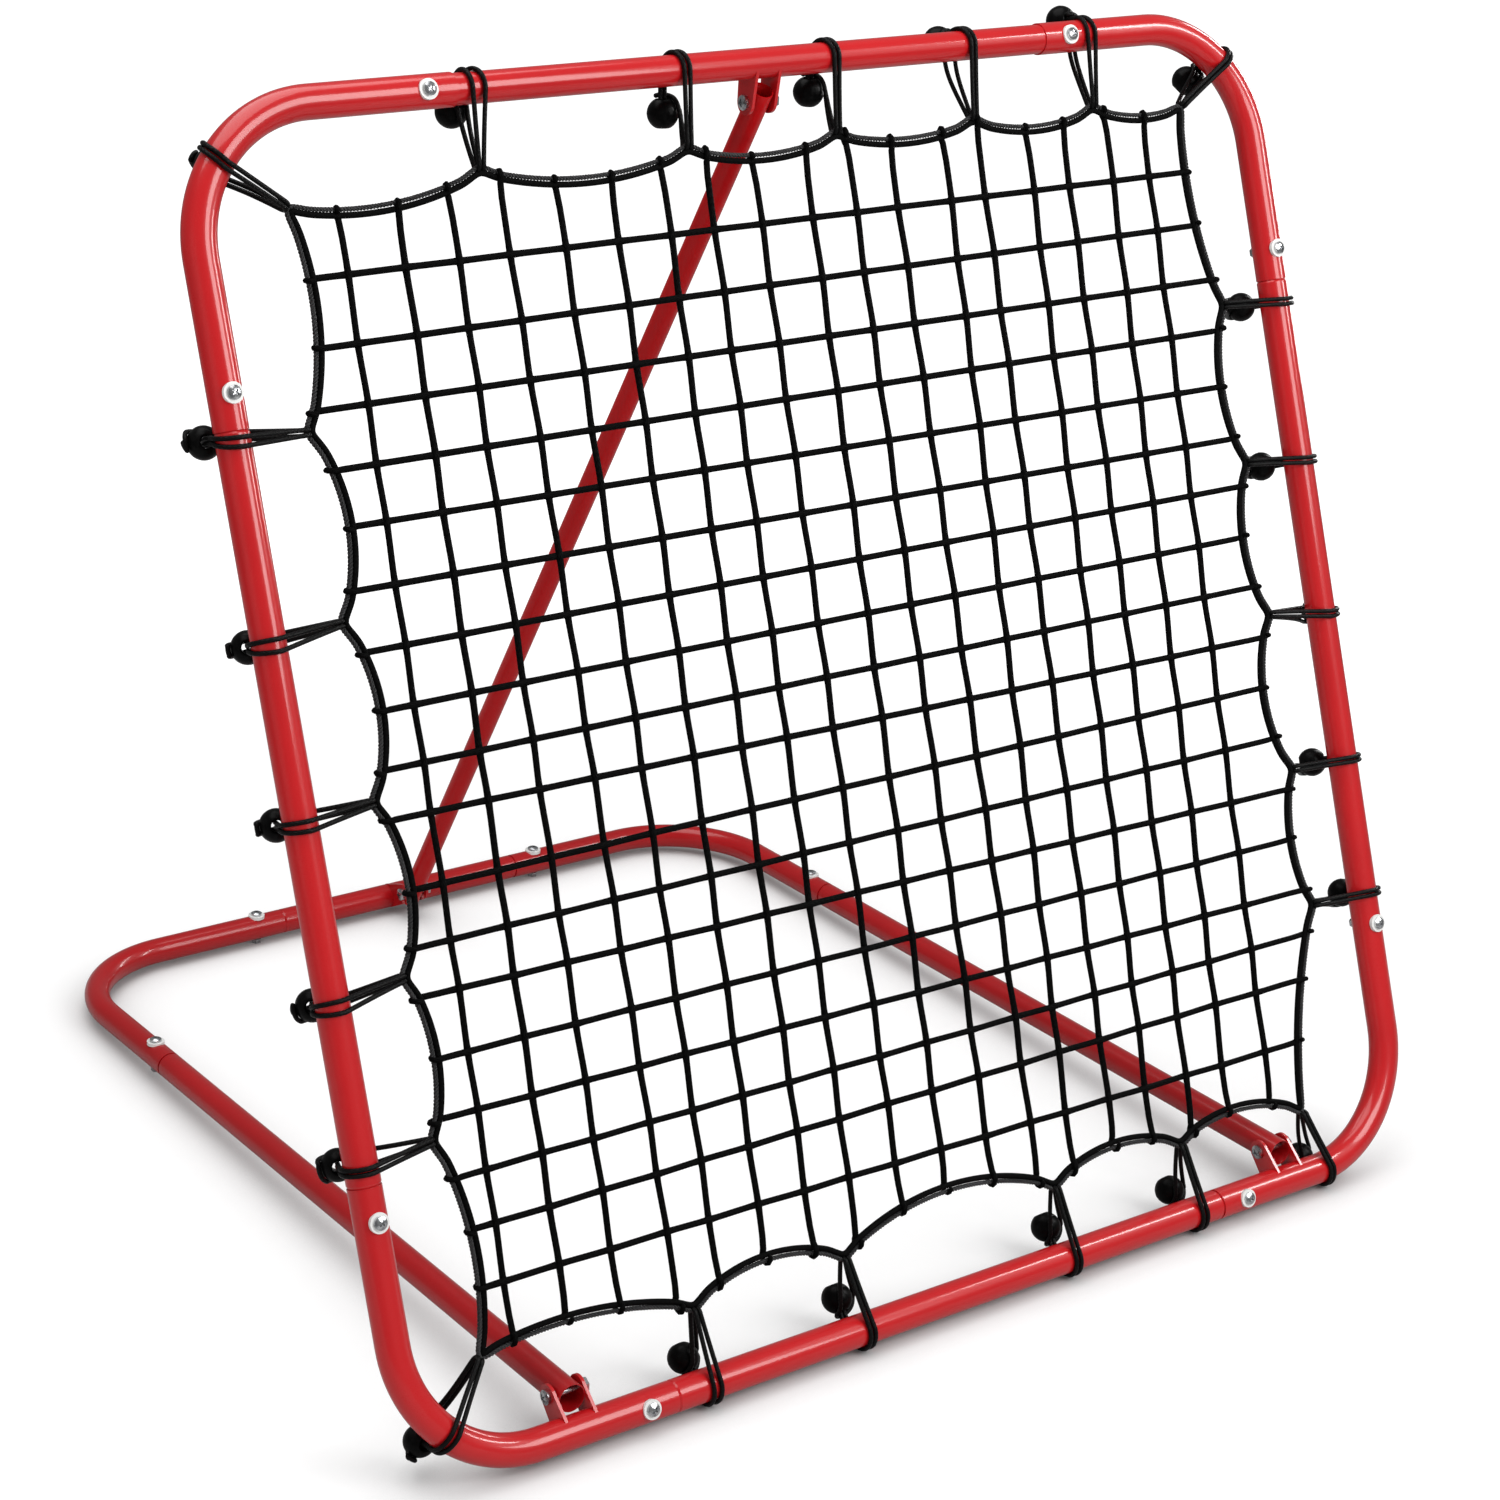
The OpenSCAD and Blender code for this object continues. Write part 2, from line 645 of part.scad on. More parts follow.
module base_bolts() { color(zinc) at_base_bolts() through_bolt(base_r); }
module base_washers() { color(washer_white) at_base_bolts() saddle_washer(base_r); }
module base_nuts() { color(zinc) at_base_bolts() through_nut(base_r); }

// The foot bracket's slots are open the way the foot leaves when the frame is folded.
module strut_foot_bracket() {
    exit_angle = atan2(
        -foot_exit[0] * sin(foot_tilt) - foot_exit[1] * cos(foot_tilt),
        -foot_exit[0] * cos(foot_tilt) + foot_exit[1] * sin(foot_tilt)
    );
    color(powder_red) translate([0, rear_p[0], rear_p[1]]) rotate([180 - foot_tilt, 0, 0])
        ears(strut_d + 2 * ear_gap, base_r, exit_angle);
}

// ---------- strut and hinge bolts ----------

module base_hinge_bolts() {
    in_base() color(zinc) for (side = [-1, 1])
        translate([side * base_w / 2, 0, 0]) hinge_bolt(base_d + 2 * ear_gap);
}

module base_hinge_nuts() {
    in_base() color(zinc) for (side = [-1, 1])
        translate([side * base_w / 2, 0, 0]) hinge_nut(base_d + 2 * ear_gap);
}

module strut() {
    in_strut() color(powder_red) rotate([-90, 0, 0]) difference() {
        translate([0, 0, -end_past]) linear_extrude(strut_len + 2 * end_past) ring(strut_d);
        for (z = [0, strut_len]) translate([0, 0, z]) rotate([0, 90, 0])
            drill(pivot_d + 2 * hole_gap, 2 * strut_d);
    }
}

module strut_top_bolt() { in_strut() color(zinc) hinge_bolt(strut_d + 2 * ear_gap); }
module strut_top_nut() { in_strut() color(zinc) hinge_nut(strut_d + 2 * ear_gap); }

module strut_foot_bolt() {
    in_strut() translate([0, strut_len, 0]) color(zinc) hinge_bolt(strut_d + 2 * ear_gap);
}

module strut_foot_nut() {
    in_strut() translate([0, strut_len, 0]) color(zinc) hinge_nut(strut_d + 2 * ear_gap);
}

top_tube();
bottom_tube();
left_tube();
right_tube();
corner_top_left();
corner_top_right();
corner_bottom_left();
corner_bottom_right();
strut_bracket();
base_bracket_left();
base_bracket_right();
frame_bolts();
frame_washers();
frame_nuts();
net();
net_border();
net_hem_rope();
bungee_cords_top();
bungee_cords_left();
bungee_cords_right();
bungee_cords_bottom();
bungee_cords_corners();
bungee_balls_top();
bungee_balls_left();
bungee_balls_right();
bungee_balls_bottom();
bungee_balls_corners();
base_tube_left();
base_tube_right();
base_corner_left();
base_corner_right();
base_rear_tube();
base_bolts();
base_washers();
base_nuts();
strut_foot_bracket();
base_hinge_bolts();
base_hinge_nuts();
strut();
strut_top_bolt();
strut_top_nut();
strut_foot_bolt();
strut_foot_nut();
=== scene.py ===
# Pitch back rebounder: finishes for its tubes and bolts, and its net and bungees made as cord.
import json
import math
import random
import bpy
import numpy as np
from mathutils import Matrix, Vector

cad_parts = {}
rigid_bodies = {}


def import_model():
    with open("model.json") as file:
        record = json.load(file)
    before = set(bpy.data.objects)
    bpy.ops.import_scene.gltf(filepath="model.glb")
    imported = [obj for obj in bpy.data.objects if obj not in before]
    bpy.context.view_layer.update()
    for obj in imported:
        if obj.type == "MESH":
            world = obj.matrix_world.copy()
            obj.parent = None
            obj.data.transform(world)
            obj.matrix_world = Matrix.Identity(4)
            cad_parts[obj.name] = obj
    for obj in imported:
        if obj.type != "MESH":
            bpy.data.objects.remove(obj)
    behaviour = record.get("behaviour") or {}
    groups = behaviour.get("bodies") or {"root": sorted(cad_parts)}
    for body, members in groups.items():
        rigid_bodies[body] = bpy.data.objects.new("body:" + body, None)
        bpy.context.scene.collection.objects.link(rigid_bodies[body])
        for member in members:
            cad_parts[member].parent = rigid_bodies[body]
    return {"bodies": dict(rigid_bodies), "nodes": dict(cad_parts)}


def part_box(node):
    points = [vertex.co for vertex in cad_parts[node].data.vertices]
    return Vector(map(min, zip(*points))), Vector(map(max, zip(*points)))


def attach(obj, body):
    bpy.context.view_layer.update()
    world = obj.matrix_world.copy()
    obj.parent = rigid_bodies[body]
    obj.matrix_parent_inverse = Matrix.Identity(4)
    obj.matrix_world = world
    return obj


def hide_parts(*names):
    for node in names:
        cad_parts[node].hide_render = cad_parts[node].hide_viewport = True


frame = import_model()
bpy.context.view_layer.update()
mm = 0.001
fullTurn = 2 * math.pi
weldWithin = 0.01 * mm
print("frame loaded")


# where the frame stands, from its tubes
def middleOf(node):
    low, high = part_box(node)
    return (low + high) / 2


bottomAxis, topAxis = middleOf("bottom_tube"), middleOf("top_tube")
acrossDir = Vector((1, 0, 0))
upDir = (topAxis - bottomAxis).normalized()   # up the frame's slope
frontDir = acrossDir.cross(upDir)             # out of the frame's front
halfWidth = middleOf("right_tube").x
slopeHeight = (topAxis - bottomAxis).length
tubeRadius = (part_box("right_tube")[1].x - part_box("right_tube")[0].x) / 2


def onFrame(x, u, n=0.0):
    return bottomAxis + acrossDir * x + upDir * u + frontDir * n


class Value:
    # a socket that adds Math nodes when it is used in an expression
    def __init__(self, graph, socket):
        self.graph, self.socket = graph, socket

    def calc(self, operation, *terms):
        return self.graph.calc(operation, self, *terms)

    def __add__(self, other):
        return self.calc("ADD", other)

    def __mul__(self, other):
        return self.calc("MULTIPLY", other)

    def __sub__(self, other):
        return self.calc("SUBTRACT", other)

    def __rsub__(self, other):
        return self.graph.calc("SUBTRACT", other, self)

    def __truediv__(self, other):
        return self.calc("DIVIDE", other)

    def __rtruediv__(self, other):
        return self.graph.calc("DIVIDE", other, self)

    __radd__, __rmul__ = __add__, __mul__

    def out(self, name):
        return Value(self.graph, self.socket.node.outputs[name])


class Graph:
    def __init__(self, tree):
        self.tree = tree

    def node(self, kind, settings=None, inputs=None, out=0):
        made = self.tree.nodes.new(kind)
        for name, value in (settings or {}).items():
            setattr(made, name, value)
        for key, value in (inputs or {}).items():
            if isinstance(value, Value):
                self.tree.links.new(value.socket, made.inputs[key])
            else:
                made.inputs[key].default_value = value
        return Value(self, made.outputs[out]) if len(made.outputs) else None

    def calc(self, operation, *terms):
        return self.node("ShaderNodeMath", {"operation": operation}, dict(enumerate(terms)))

    def vector(self, operation, *terms):
        return self.node("ShaderNodeVectorMath", {"operation": operation}, dict(enumerate(terms)))

    def scaled(self, vector, factor):
        return self.node("ShaderNodeVectorMath", {"operation": "SCALE"}, {0: vector, 3: factor})

    def blend(self, factor, a, b):
        return self.node("ShaderNodeMix", {"data_type": "RGBA"}, {0: factor, 6: a, 7: b}, out=2)

    def between(self, value, low, high):
        # 0 below low, 1 above high, smooth in between
        return self.node("ShaderNodeMapRange", {"interpolation_type": "SMOOTHSTEP"},
                         {0: value, 1: low, 2: high, 3: 0.0, 4: 1.0})

    def noise(self, coords, scale, detail=2.0, roughness=0.5):
        return self.node("ShaderNodeTexNoise", None, {
            "Vector": coords, "Scale": scale, "Detail": detail, "Roughness": roughness})

    def bump(self, height, strength, distance):
        return self.node("ShaderNodeBump", None, {
            "Height": height, "Strength": strength, "Distance": distance})


def shade(red, green, blue):
    return (red, green, blue, 1.0)


def newMaterial(name, build):
    material = bpy.data.materials.new(name)
    material.use_nodes = True
    material.node_tree.nodes.clear()
    graph = Graph(material.node_tree)
    graph.node("ShaderNodeOutputMaterial", None, {"Surface": build(graph)})
    return material


def objectCoords(graph):
    return graph.node("ShaderNodeTexCoord").out("Object")


def surfaceOf(graph, inputs):
    return graph.node("ShaderNodeBsdfPrincipled", None, inputs)


powderCoat = {"red": shade(0.56, 0.010, 0.013), "deepRed": shade(0.47, 0.007, 0.010),
              "cloudScale": 7.0, "cloudShare": 0.55, "speckScale": 2600.0, "speckShare": 0.16,
              "speck": shade(0.75, 0.16, 0.15), "scuffScale": 38.0, "scuffRough": 0.13,
              "peelScale": 420.0, "relief": 0.16, "depth": 0.12 * mm, "roughness": 0.30,
              "vary": 0.10, "specular": 0.28, "coat": 0.6, "coatRoughness": 0.09}
# the base's deeper red is painted shade: a darker, shaded copy of the frame's powder coat
shadedBaseCoat = {**powderCoat, "red": shade(0.45, 0.005, 0.008), "deepRed": shade(0.36, 0.004, 0.006),
            "coat": 0.45}
# the strut's slightly deeper red is painted shade: a shaded copy of the powder coat, with less
# gloss
shadedStrutCoat = {**powderCoat, "red": shade(0.53, 0.004, 0.006), "deepRed": shade(0.45, 0.003, 0.005),
             "specular": 0.15, "coat": 0.15}


def powderFinish(look):
    def build(graph):
        coords = objectCoords(graph)
        cloud = graph.noise(coords, look["cloudScale"], 4.0)
        peel = graph.noise(coords, look["peelScale"], 2.0)
        speck = graph.noise(coords, look["speckScale"], 1.0)
        scuff = graph.between(graph.noise(coords, look["scuffScale"], 8.0, 0.72), 0.60, 0.74)
        deep = graph.between(cloud, 0.35, 0.72) * look["cloudShare"]
        bright = graph.between(speck, 0.62, 0.80) * look["speckShare"]
        tint = graph.blend(deep, look["red"], look["deepRed"])
        rough = look["roughness"] + scuff * look["scuffRough"]
        return surfaceOf(graph, {
            "Base Color": graph.blend(bright, tint, look["speck"]),
            "Roughness": rough + (cloud - 0.5) * look["vary"] + (speck - 0.5) * look["vary"],
            "Specular IOR Level": look["specular"],
            "Coat Weight": look["coat"], "Coat Roughness": look["coatRoughness"],
            "Normal": graph.bump(peel + speck * 0.22, look["relief"], look["depth"])})
    return build


zincPlate = {"light": shade(0.66, 0.67, 0.68), "dark": shade(0.34, 0.35, 0.37),
             "cloudScale": 260.0, "grainScale": 2400.0, "roughness": 0.26, "vary": 0.25,
             "relief": 0.2, "depth": 0.05 * mm}


def buildZincPlate(graph):
    coords, look = objectCoords(graph), zincPlate
    cloud = graph.noise(coords, look["cloudScale"], 4.0, 0.62)
    grain = graph.noise(coords, look["grainScale"], 2.0)
    return surfaceOf(graph, {
        "Base Color": graph.blend(graph.between(cloud, 0.38, 0.66), look["light"], look["dark"]),
        "Metallic": 1.0, "Roughness": look["roughness"] + (cloud - 0.5) * look["vary"],
        "Normal": graph.bump(grain + cloud, look["relief"], look["depth"])})


whitePlastic = {"white": shade(0.82, 0.82, 0.80), "grey": shade(0.66, 0.66, 0.65),
                "cloudScale": 140.0, "cloudShare": 0.5, "grainScale": 1900.0,
                "roughness": 0.38, "vary": 0.2, "relief": 0.12, "depth": 0.06 * mm}


def buildWhitePlastic(graph):
    coords, look = objectCoords(graph), whitePlastic
    cloud = graph.noise(coords, look["cloudScale"], 4.0)
    grain = graph.noise(coords, look["grainScale"], 2.0)
    grey = graph.between(cloud, 0.45, 0.75) * look["cloudShare"]
    return surfaceOf(graph, {
        "Base Color": graph.blend(grey, look["white"], look["grey"]),
        "Roughness": look["roughness"] + (grain - 0.5) * look["vary"],
        "Normal": graph.bump(grain, look["relief"], look["depth"])})


def braidHeight(graph, plaits, lay):
    # height of a braided sheath over its "weave" map: u round the cord, v along it in metres
    weave = graph.node("ShaderNodeUVMap", {"uv_map": "weave"})
    split = graph.node("ShaderNodeSeparateXYZ", None, {"Vector": weave})
    turn, run = split.out("X") * float(plaits), split.out("Y") / lay
    right, left = turn + run, turn - run

    def crown(phase):
        across = (phase.calc("FRACT") - 0.5) * 2.0
        return 1.0 - across * across

    over = ((right.calc("FLOOR") + left.calc("FLOOR")) * 0.5).calc("FRACT") * 2.0
    return crown(right) * over + crown(left) * (1.0 - over)


def cordFinish(look):
    def build(graph):
        coords = objectCoords(graph)
        plait = braidHeight(graph, look["plaits"], look["lay"])
        fibre = graph.noise(coords, look["fibreScale"], 3.0, 0.7)
        wear = graph.noise(coords, look["wearScale"], 3.0)
        lint = graph.between(fibre + wear * 0.3, 0.62, 0.95) * look["fuzz"]
        # the braid's grooves are painted darker than its crowns: painted shade in the creases
        tint = graph.blend(graph.between(plait, 0.1, 0.95), look["paintedGrooveShade"], look["crown"])
        return surfaceOf(graph, {
            "Base Color": graph.blend(lint, tint, look["lint"]),
            "Roughness": look["roughness"] + (fibre - 0.5) * look["vary"],
            "Specular IOR Level": look["specular"],
            "Normal": graph.bump(plait + fibre * 0.35, look["relief"], look["depth"])})
    return build


# the groove colour is painted shade in the braid's grooves; the crown colour is the cord's own tone
meshCordLook = {"plaits": 8, "lay": 5.0 * mm, "paintedGrooveShade": shade(0.001, 0.001, 0.001),
                "crown": shade(0.003, 0.003, 0.003), "lint": shade(0.012, 0.012, 0.013),
                "fibreScale": 3800.0, "wearScale": 24.0, "fuzz": 0.2, "roughness": 0.62,
                "vary": 0.2, "specular": 0.03, "relief": 0.75, "depth": 0.35 * mm}
borderCordLook = {**meshCordLook, "plaits": 12, "lay": 4.0 * mm, "relief": 0.5}
ropeLook = {**meshCordLook, "plaits": 3, "lay": 3.0 * mm, "crown": shade(0.034, 0.034, 0.035),
            "lint": shade(0.14, 0.14, 0.143), "fuzz": 0.9, "roughness": 0.5, "specular": 0.2,
            "relief": 0.9}
bungeeLook = {**meshCordLook, "lay": 3.4 * mm, "crown": shade(0.005, 0.005, 0.005),
              "roughness": 0.34, "specular": 0.10, "relief": 0.45}

ballPlastic = {"black": shade(0.002, 0.002, 0.002), "worn": shade(0.006, 0.006, 0.006),
               "cloudScale": 120.0, "grainScale": 1500.0, "roughness": 0.30, "vary": 0.3,
               "specular": 0.07, "relief": 0.22, "depth": 0.15 * mm}


def buildBallPlastic(graph):
    coords, look = objectCoords(graph), ballPlastic
    cloud = graph.noise(coords, look["cloudScale"], 5.0, 0.65)
    grain = graph.noise(coords, look["grainScale"], 3.0, 0.6)
    return surfaceOf(graph, {
        "Base Color": graph.blend(graph.between(cloud, 0.45, 0.75), look["black"], look["worn"]),
        "Roughness": look["roughness"] + (cloud - 0.4) * look["vary"],
        "Specular IOR Level": look["specular"],
        "Normal": graph.bump(cloud * 0.6 + grain * 0.5, look["relief"], look["depth"])})


powderRed = newMaterial("powder_red_coat", powderFinish(powderCoat))
powderRedBaseShaded = newMaterial("powder_red_base_painted_shade", powderFinish(shadedBaseCoat))
powderRedStrutShaded = newMaterial("powder_red_strut_painted_shade", powderFinish(shadedStrutCoat))
zincSteel = newMaterial("zinc_plated_steel", buildZincPlate)
washerWhite = newMaterial("white_washer_plastic", buildWhitePlastic)
meshCordBlack = newMaterial("mesh_cord_black", cordFinish(meshCordLook))
borderCordBlack = newMaterial("border_cord_black", cordFinish(borderCordLook))
ropeBlack = newMaterial("hem_rope_black", cordFinish(ropeLook))
bungeeBlack = newMaterial("bungee_sheath_black", cordFinish(bungeeLook))
ballBlack = newMaterial("bungee_ball_black", buildBallPlastic)

finishOf = {"powder_red": powderRed, "zinc_steel": zincSteel, "saddle_washer": washerWhite,
            "mesh_cord": meshCordBlack, "border_cord": borderCordBlack, "hem_rope": ropeBlack,
            "bungee_cord": bungeeBlack, "bungee_ball": ballBlack}
for name, node in frame["nodes"].items():
    for place in node.material_slots:
        look = place.material.name.split(".")[0]
        place.material = finishOf[look]
        # the base's red tubes take the shaded copy of the powder coat: painted shade
        if look == "powder_red" and node.parent == frame["bodies"]["base"]:
            place.material = powderRedBaseShaded
        # the strut takes its shaded copy of the powder coat: painted shade
        if name == "strut":
            place.material = powderRedStrutShaded
print("finishes made")


def pathsObject(name, paths, thickness=None, closed=False):
    # bare edges, one run of vertices for each path, with a share of the cord's thickness
    points, edges, thick = [], [], []
    for index, path in enumerate(paths):
        start = len(points)
        points += [tuple(p) for p in path]
        thick += list(thickness[index]) if thickness else [1.0] * len(path)
        edges += [(start + i, start + i + 1) for i in range(len(path) - 1)]
        if closed:
            edges.append((len(points) - 1, start))
    mesh = bpy.data.meshes.new(name)
    mesh.from_pydata(points, edges, [])
    mesh.attributes.new("thick", "FLOAT", "POINT").data.foreach_set("value", thick)
    made = bpy.data.objects.new(name, mesh)
    bpy.context.collection.objects.link(made)
    return made


def newTree(name, inputs):
    tree = bpy.data.node_groups.new(name, "GeometryNodeTree")
    tree.interface.new_socket("Geometry", in_out="INPUT", socket_type="NodeSocketGeometry")
    for label, kind in inputs.items():
        tree.interface.new_socket(label, in_out="INPUT", socket_type="NodeSocket" + kind)
    tree.interface.new_socket("Geometry", in_out="OUTPUT", socket_type="NodeSocketGeometry")
    return tree, Graph(tree)


def stored(graph, geometry, name, value, kind="FLOAT", domain="POINT"):
    return graph.node("GeometryNodeStoreNamedAttribute", {"data_type": kind, "domain": domain},
                      {"Geometry": geometry, "Name": name, "Value": value})


def named(graph, name, kind="FLOAT"):
    return graph.node("GeometryNodeInputNamedAttribute", {"data_type": kind}, {"Name": name})


def endTree(graph, made, finish):
    # smooth, real geometry in its finish
    made = graph.node("GeometryNodeSetShadeSmooth", None, {"Geometry": made})
    made = graph.node("GeometryNodeRealizeInstances", None, {"Geometry": made})
    made = graph.node("GeometryNodeSetMaterial", None, {"Geometry": made, "Material": finish})
    graph.node("NodeGroupOutput", None, {"Geometry": made})


def cordTree(strands):
    # strands laid round each path as a helix, or one plain strand on it
    tree, graph = newTree(f"cord_of_{strands}", {
        "Strand radius": "Float", "Lay radius": "Float", "Lay length": "Float",
        "Step": "Float", "Sides": "Int", "Finish": "Material"})
    given = graph.node("NodeGroupInput")
    line = graph.node("GeometryNodeMeshToCurve", None, {"Mesh": given.out("Geometry")})
    line = graph.node("GeometryNodeResampleCurve", {"mode": "LENGTH"},
                      {"Curve": line, "Length": given.out("Step")})
    length = graph.node("GeometryNodeSplineParameter").out("Length")
    line = stored(graph, line, "along", length)
    profile = graph.node("GeometryNodeCurveArc", None, {
        "Resolution": given.out("Sides") + 1.0, "Radius": given.out("Strand radius"),
        "Sweep Angle": fullTurn})
    share = graph.node("GeometryNodeSplineParameter").out("Factor")
    profile = stored(graph, profile, "around", share)
    tangent = graph.node("GeometryNodeInputTangent")
    normal = graph.node("GeometryNodeInputNormal")
    swept = graph.node("GeometryNodeJoinGeometry")
    for strand in range(strands):
        path = line
        if strands > 1:
            angle = length / given.out("Lay length") * fullTurn + strand * fullTurn / strands
            aside = graph.vector("CROSS_PRODUCT", tangent, normal)
            outward = graph.vector("ADD", graph.scaled(normal, angle.calc("COSINE")),
                                   graph.scaled(aside, angle.calc("SINE")))
            path = graph.node("GeometryNodeSetPosition", None, {
                "Geometry": line, "Offset": graph.scaled(outward, given.out("Lay radius"))})
        tube = graph.node("GeometryNodeCurveToMesh", None, {
            "Curve": path, "Profile Curve": profile, "Scale": named(graph, "thick"),
            "Fill Caps": True})
        tree.links.new(tube.socket, swept.socket.node.inputs[0])
    weave = graph.node("ShaderNodeCombineXYZ", None,
                       {"X": named(graph, "around"), "Y": named(graph, "along")})
    made = stored(graph, swept, "weave", weave, "FLOAT2", "CORNER")
    for spare in ("thick", "along", "around"):
        made = graph.node("GeometryNodeRemoveAttribute", None, {"Geometry": made, "Name": spare})
    made = graph.node("GeometryNodeMergeByDistance", None,
                      {"Geometry": made, "Distance": weldWithin})
    endTree(graph, made, given.out("Finish"))
    return tree


def runTree(source, tree, name, values):
    # the tree's result as a plain mesh object, with the source gone
    modifier = source.modifiers.new(tree.name, "NODES")
    modifier.node_group = tree
    sockets = {s.name: s.identifier for s in tree.interface.items_tree if s.in_out == "INPUT"}
    for label, value in values.items():
        modifier[sockets[label]] = value
    bpy.context.view_layer.update()
    seen = source.evaluated_get(bpy.context.evaluated_depsgraph_get())
    made = bpy.data.objects.new(name, bpy.data.meshes.new_from_object(seen))
    bpy.context.collection.objects.link(made)
    bpy.data.objects.remove(source)
    return made


plainCord, threeStrandRope = cordTree(1), cordTree(3)


def sweptCord(name, paths, radius, step, sides, finish, thickness=None, closed=False):
    return runTree(pathsObject(name + "_paths", paths, thickness, closed), plainCord, name, {
        "Strand radius": radius, "Step": step, "Sides": sides, "Finish": finish})


# hooks nudged in mm, bungee places as shares of a side, and how deep in mm each scallop hangs
netEdge = {"inset": 59 * mm, "bendRadius": 100 * mm, "cornerBolt": 190 * mm,
           "bendBungee": 97 * mm, "step": 3 * mm, "softened": 5, "pullReach": 19 * mm,
           "pullPower": 1.4, "nudged": {6: (-2, 6), 12: (-8, -7), 17: (-5, 3)},
           "top": [-0.266, -0.081, 0.061, 0.2, 0.328], "left": [0.942, 0.711, 0.492, 0.276, 0.073],
           "right": [0.93, 0.701, 0.478, 0.251, 0.05], "bottom": [0.252, 0.113, -0.103, -0.246],
           "scallops": [12, 14, 11, 10, 11, 8, 11, 15, 16, 19, 13, 9, 16, 16, 25, 18, 13,
                        14, 13, 16, 17, 18, 14]}


def sidePlace(share):
    return netEdge["cornerBolt"] + share * (slopeHeight - 2 * netEdge["cornerBolt"])


def bungeeList():
    # every bungee, clockwise from the top left: its side, tube point, and outward angle
    width = 2 * halfWidth
    bend45 = netEdge["bendRadius"] * (1 - math.cos(math.radians(45)))
    places = [("corners", -halfWidth + bend45, slopeHeight - bend45, 135)]
    places += [("top", share * width, slopeHeight, 90) for share in netEdge["top"]]
    places += [("corners", halfWidth - bend45, slopeHeight - bend45, 45)]
    places += [("right", halfWidth, sidePlace(share), 0) for share in netEdge["right"]]
    places += [("bottom", halfWidth - netEdge["bendBungee"], 0, 270)]
    places += [("bottom", share * width, 0, 270) for share in netEdge["bottom"]]
    places += [("corners", -halfWidth + bend45, bend45, 225)]
    places += [("left", -halfWidth, sidePlace(share), 180) for share in reversed(netEdge["left"])]
    return places


def outwardOf(place):
    angle = math.radians(place[3])
    return np.array([math.cos(angle), math.sin(angle)])


bungees = bungeeList()
hooks = [np.array(place[1:3]) - netEdge["inset"] * outwardOf(place) for place in bungees]
for index, moved in netEdge["nudged"].items():
    hooks[index] = hooks[index] + np.array(moved) * mm


def edgePath(inset, slack=0.0):
    # the scalloped edge, moved in by inset, with its points softened: (x, u) at every step
    path = []
    for i, start in enumerate(hooks):
        end = hooks[(i + 1) % len(hooks)]
        depth = netEdge["scallops"][i] * mm
        chord = np.linalg.norm(end - start)
        out = np.array([start[1] - end[1], end[0] - start[0]]) / chord
        radius = (chord ** 2 / 4 + depth ** 2) / (2 * depth)
        centre = (start + end) / 2 + (radius - depth) * out
        reach = radius + inset
        half = math.asin(chord / 2 / radius)
        steps = int(chord / netEdge["step"])
        for k in range(steps):
            turn = half * (2 * k / steps - 1)
            toward = -out * math.cos(turn) + (end - start) / chord * math.sin(turn)
            path.append(centre + (reach - slack * math.sin(math.pi * k / steps)) * toward)
    path = np.array(path)
    for _ in range(netEdge["softened"]):
        path = (np.roll(path, 1, 0) + 2 * path + np.roll(path, -1, 0)) / 4
    return path


def pulledOut(path, pull):
    # the path drawn out in a point toward the tube at every bungee
    path = path.copy()
    for place, hook in zip(bungees, hooks):
        far = np.linalg.norm(path - hook, axis=1)
        share = np.clip(1 - far / netEdge["pullReach"], 0, 1) ** netEdge["pullPower"]
        path += outwardOf(place) * (pull * share)[:, None]
    return path


def lengthOf(path):
    return float(np.linalg.norm(path - np.roll(path, 1, 0), axis=1).sum())


borderCord = {"radius": 2.3 * mm, "pull": 3 * mm, "step": 2.5 * mm, "sides": 12}
borderLine = pulledOut(edgePath(borderCord["radius"]), borderCord["pull"])
border = sweptCord("border_cord", [[onFrame(*p) for p in borderLine]], borderCord["radius"],
                   borderCord["step"], borderCord["sides"], borderCordBlack, closed=True)

hemRope = {"radius": 1.85 * mm, "out": 1.3 * mm, "slack": 0.8 * mm, "pull": 3.6 * mm,
           "strandRadius": 0.88 * mm, "layRadius": 1.15 * mm, "layLength": 8 * mm,
           "step": 1.2 * mm, "sides": 6}
ropeLine = pulledOut(edgePath(-hemRope["out"], hemRope["slack"]), hemRope["pull"])
ropeTurns = round(lengthOf(ropeLine) / hemRope["layLength"])
rope = runTree(pathsObject("hem_rope_paths", [[onFrame(*p) for p in ropeLine]], closed=True),
               threeStrandRope, "hem_rope", {
                   "Strand radius": hemRope["strandRadius"], "Lay radius": hemRope["layRadius"],
                   "Lay length": lengthOf(ropeLine) / ropeTurns, "Step": hemRope["step"],
                   "Sides": hemRope["sides"], "Finish": ropeBlack})
print("net edge made")


# where each cord starts and ends, in mm across the frame and up its slope
netMesh = {"cordRadius": 2.5 * mm, "crimp": 0.9 * mm, "swell": 0.15, "swellReach": 4 * mm,
           "perCell": 8, "step": 2.7 * mm, "sides": 8,
           "columnTops": [-378, -331, -288, -245, -198, -151, -105, -65, -22,
                          27, 68, 109, 162, 197, 247, 285, 331, 371],
           "columnFeet": [-393, -347, -302, -253, -215, -171, -127, -86, -40,
                          4, 50, 95, 132, 177, 217, 261, 302, 350],
           "rowsLeft": [835, 787, 745, 703, 663, 619, 576, 534, 493,
                        458, 407, 367, 332, 287, 245, 202, 163, 121],
           "rowsRight": [837, 793, 747, 705, 659, 615, 575, 533, 491,
                         448, 407, 363, 319, 277, 233, 196, 160, 109],
           "topAt": 877, "footAt": 90, "leftAt": -400, "rightAt": 400}


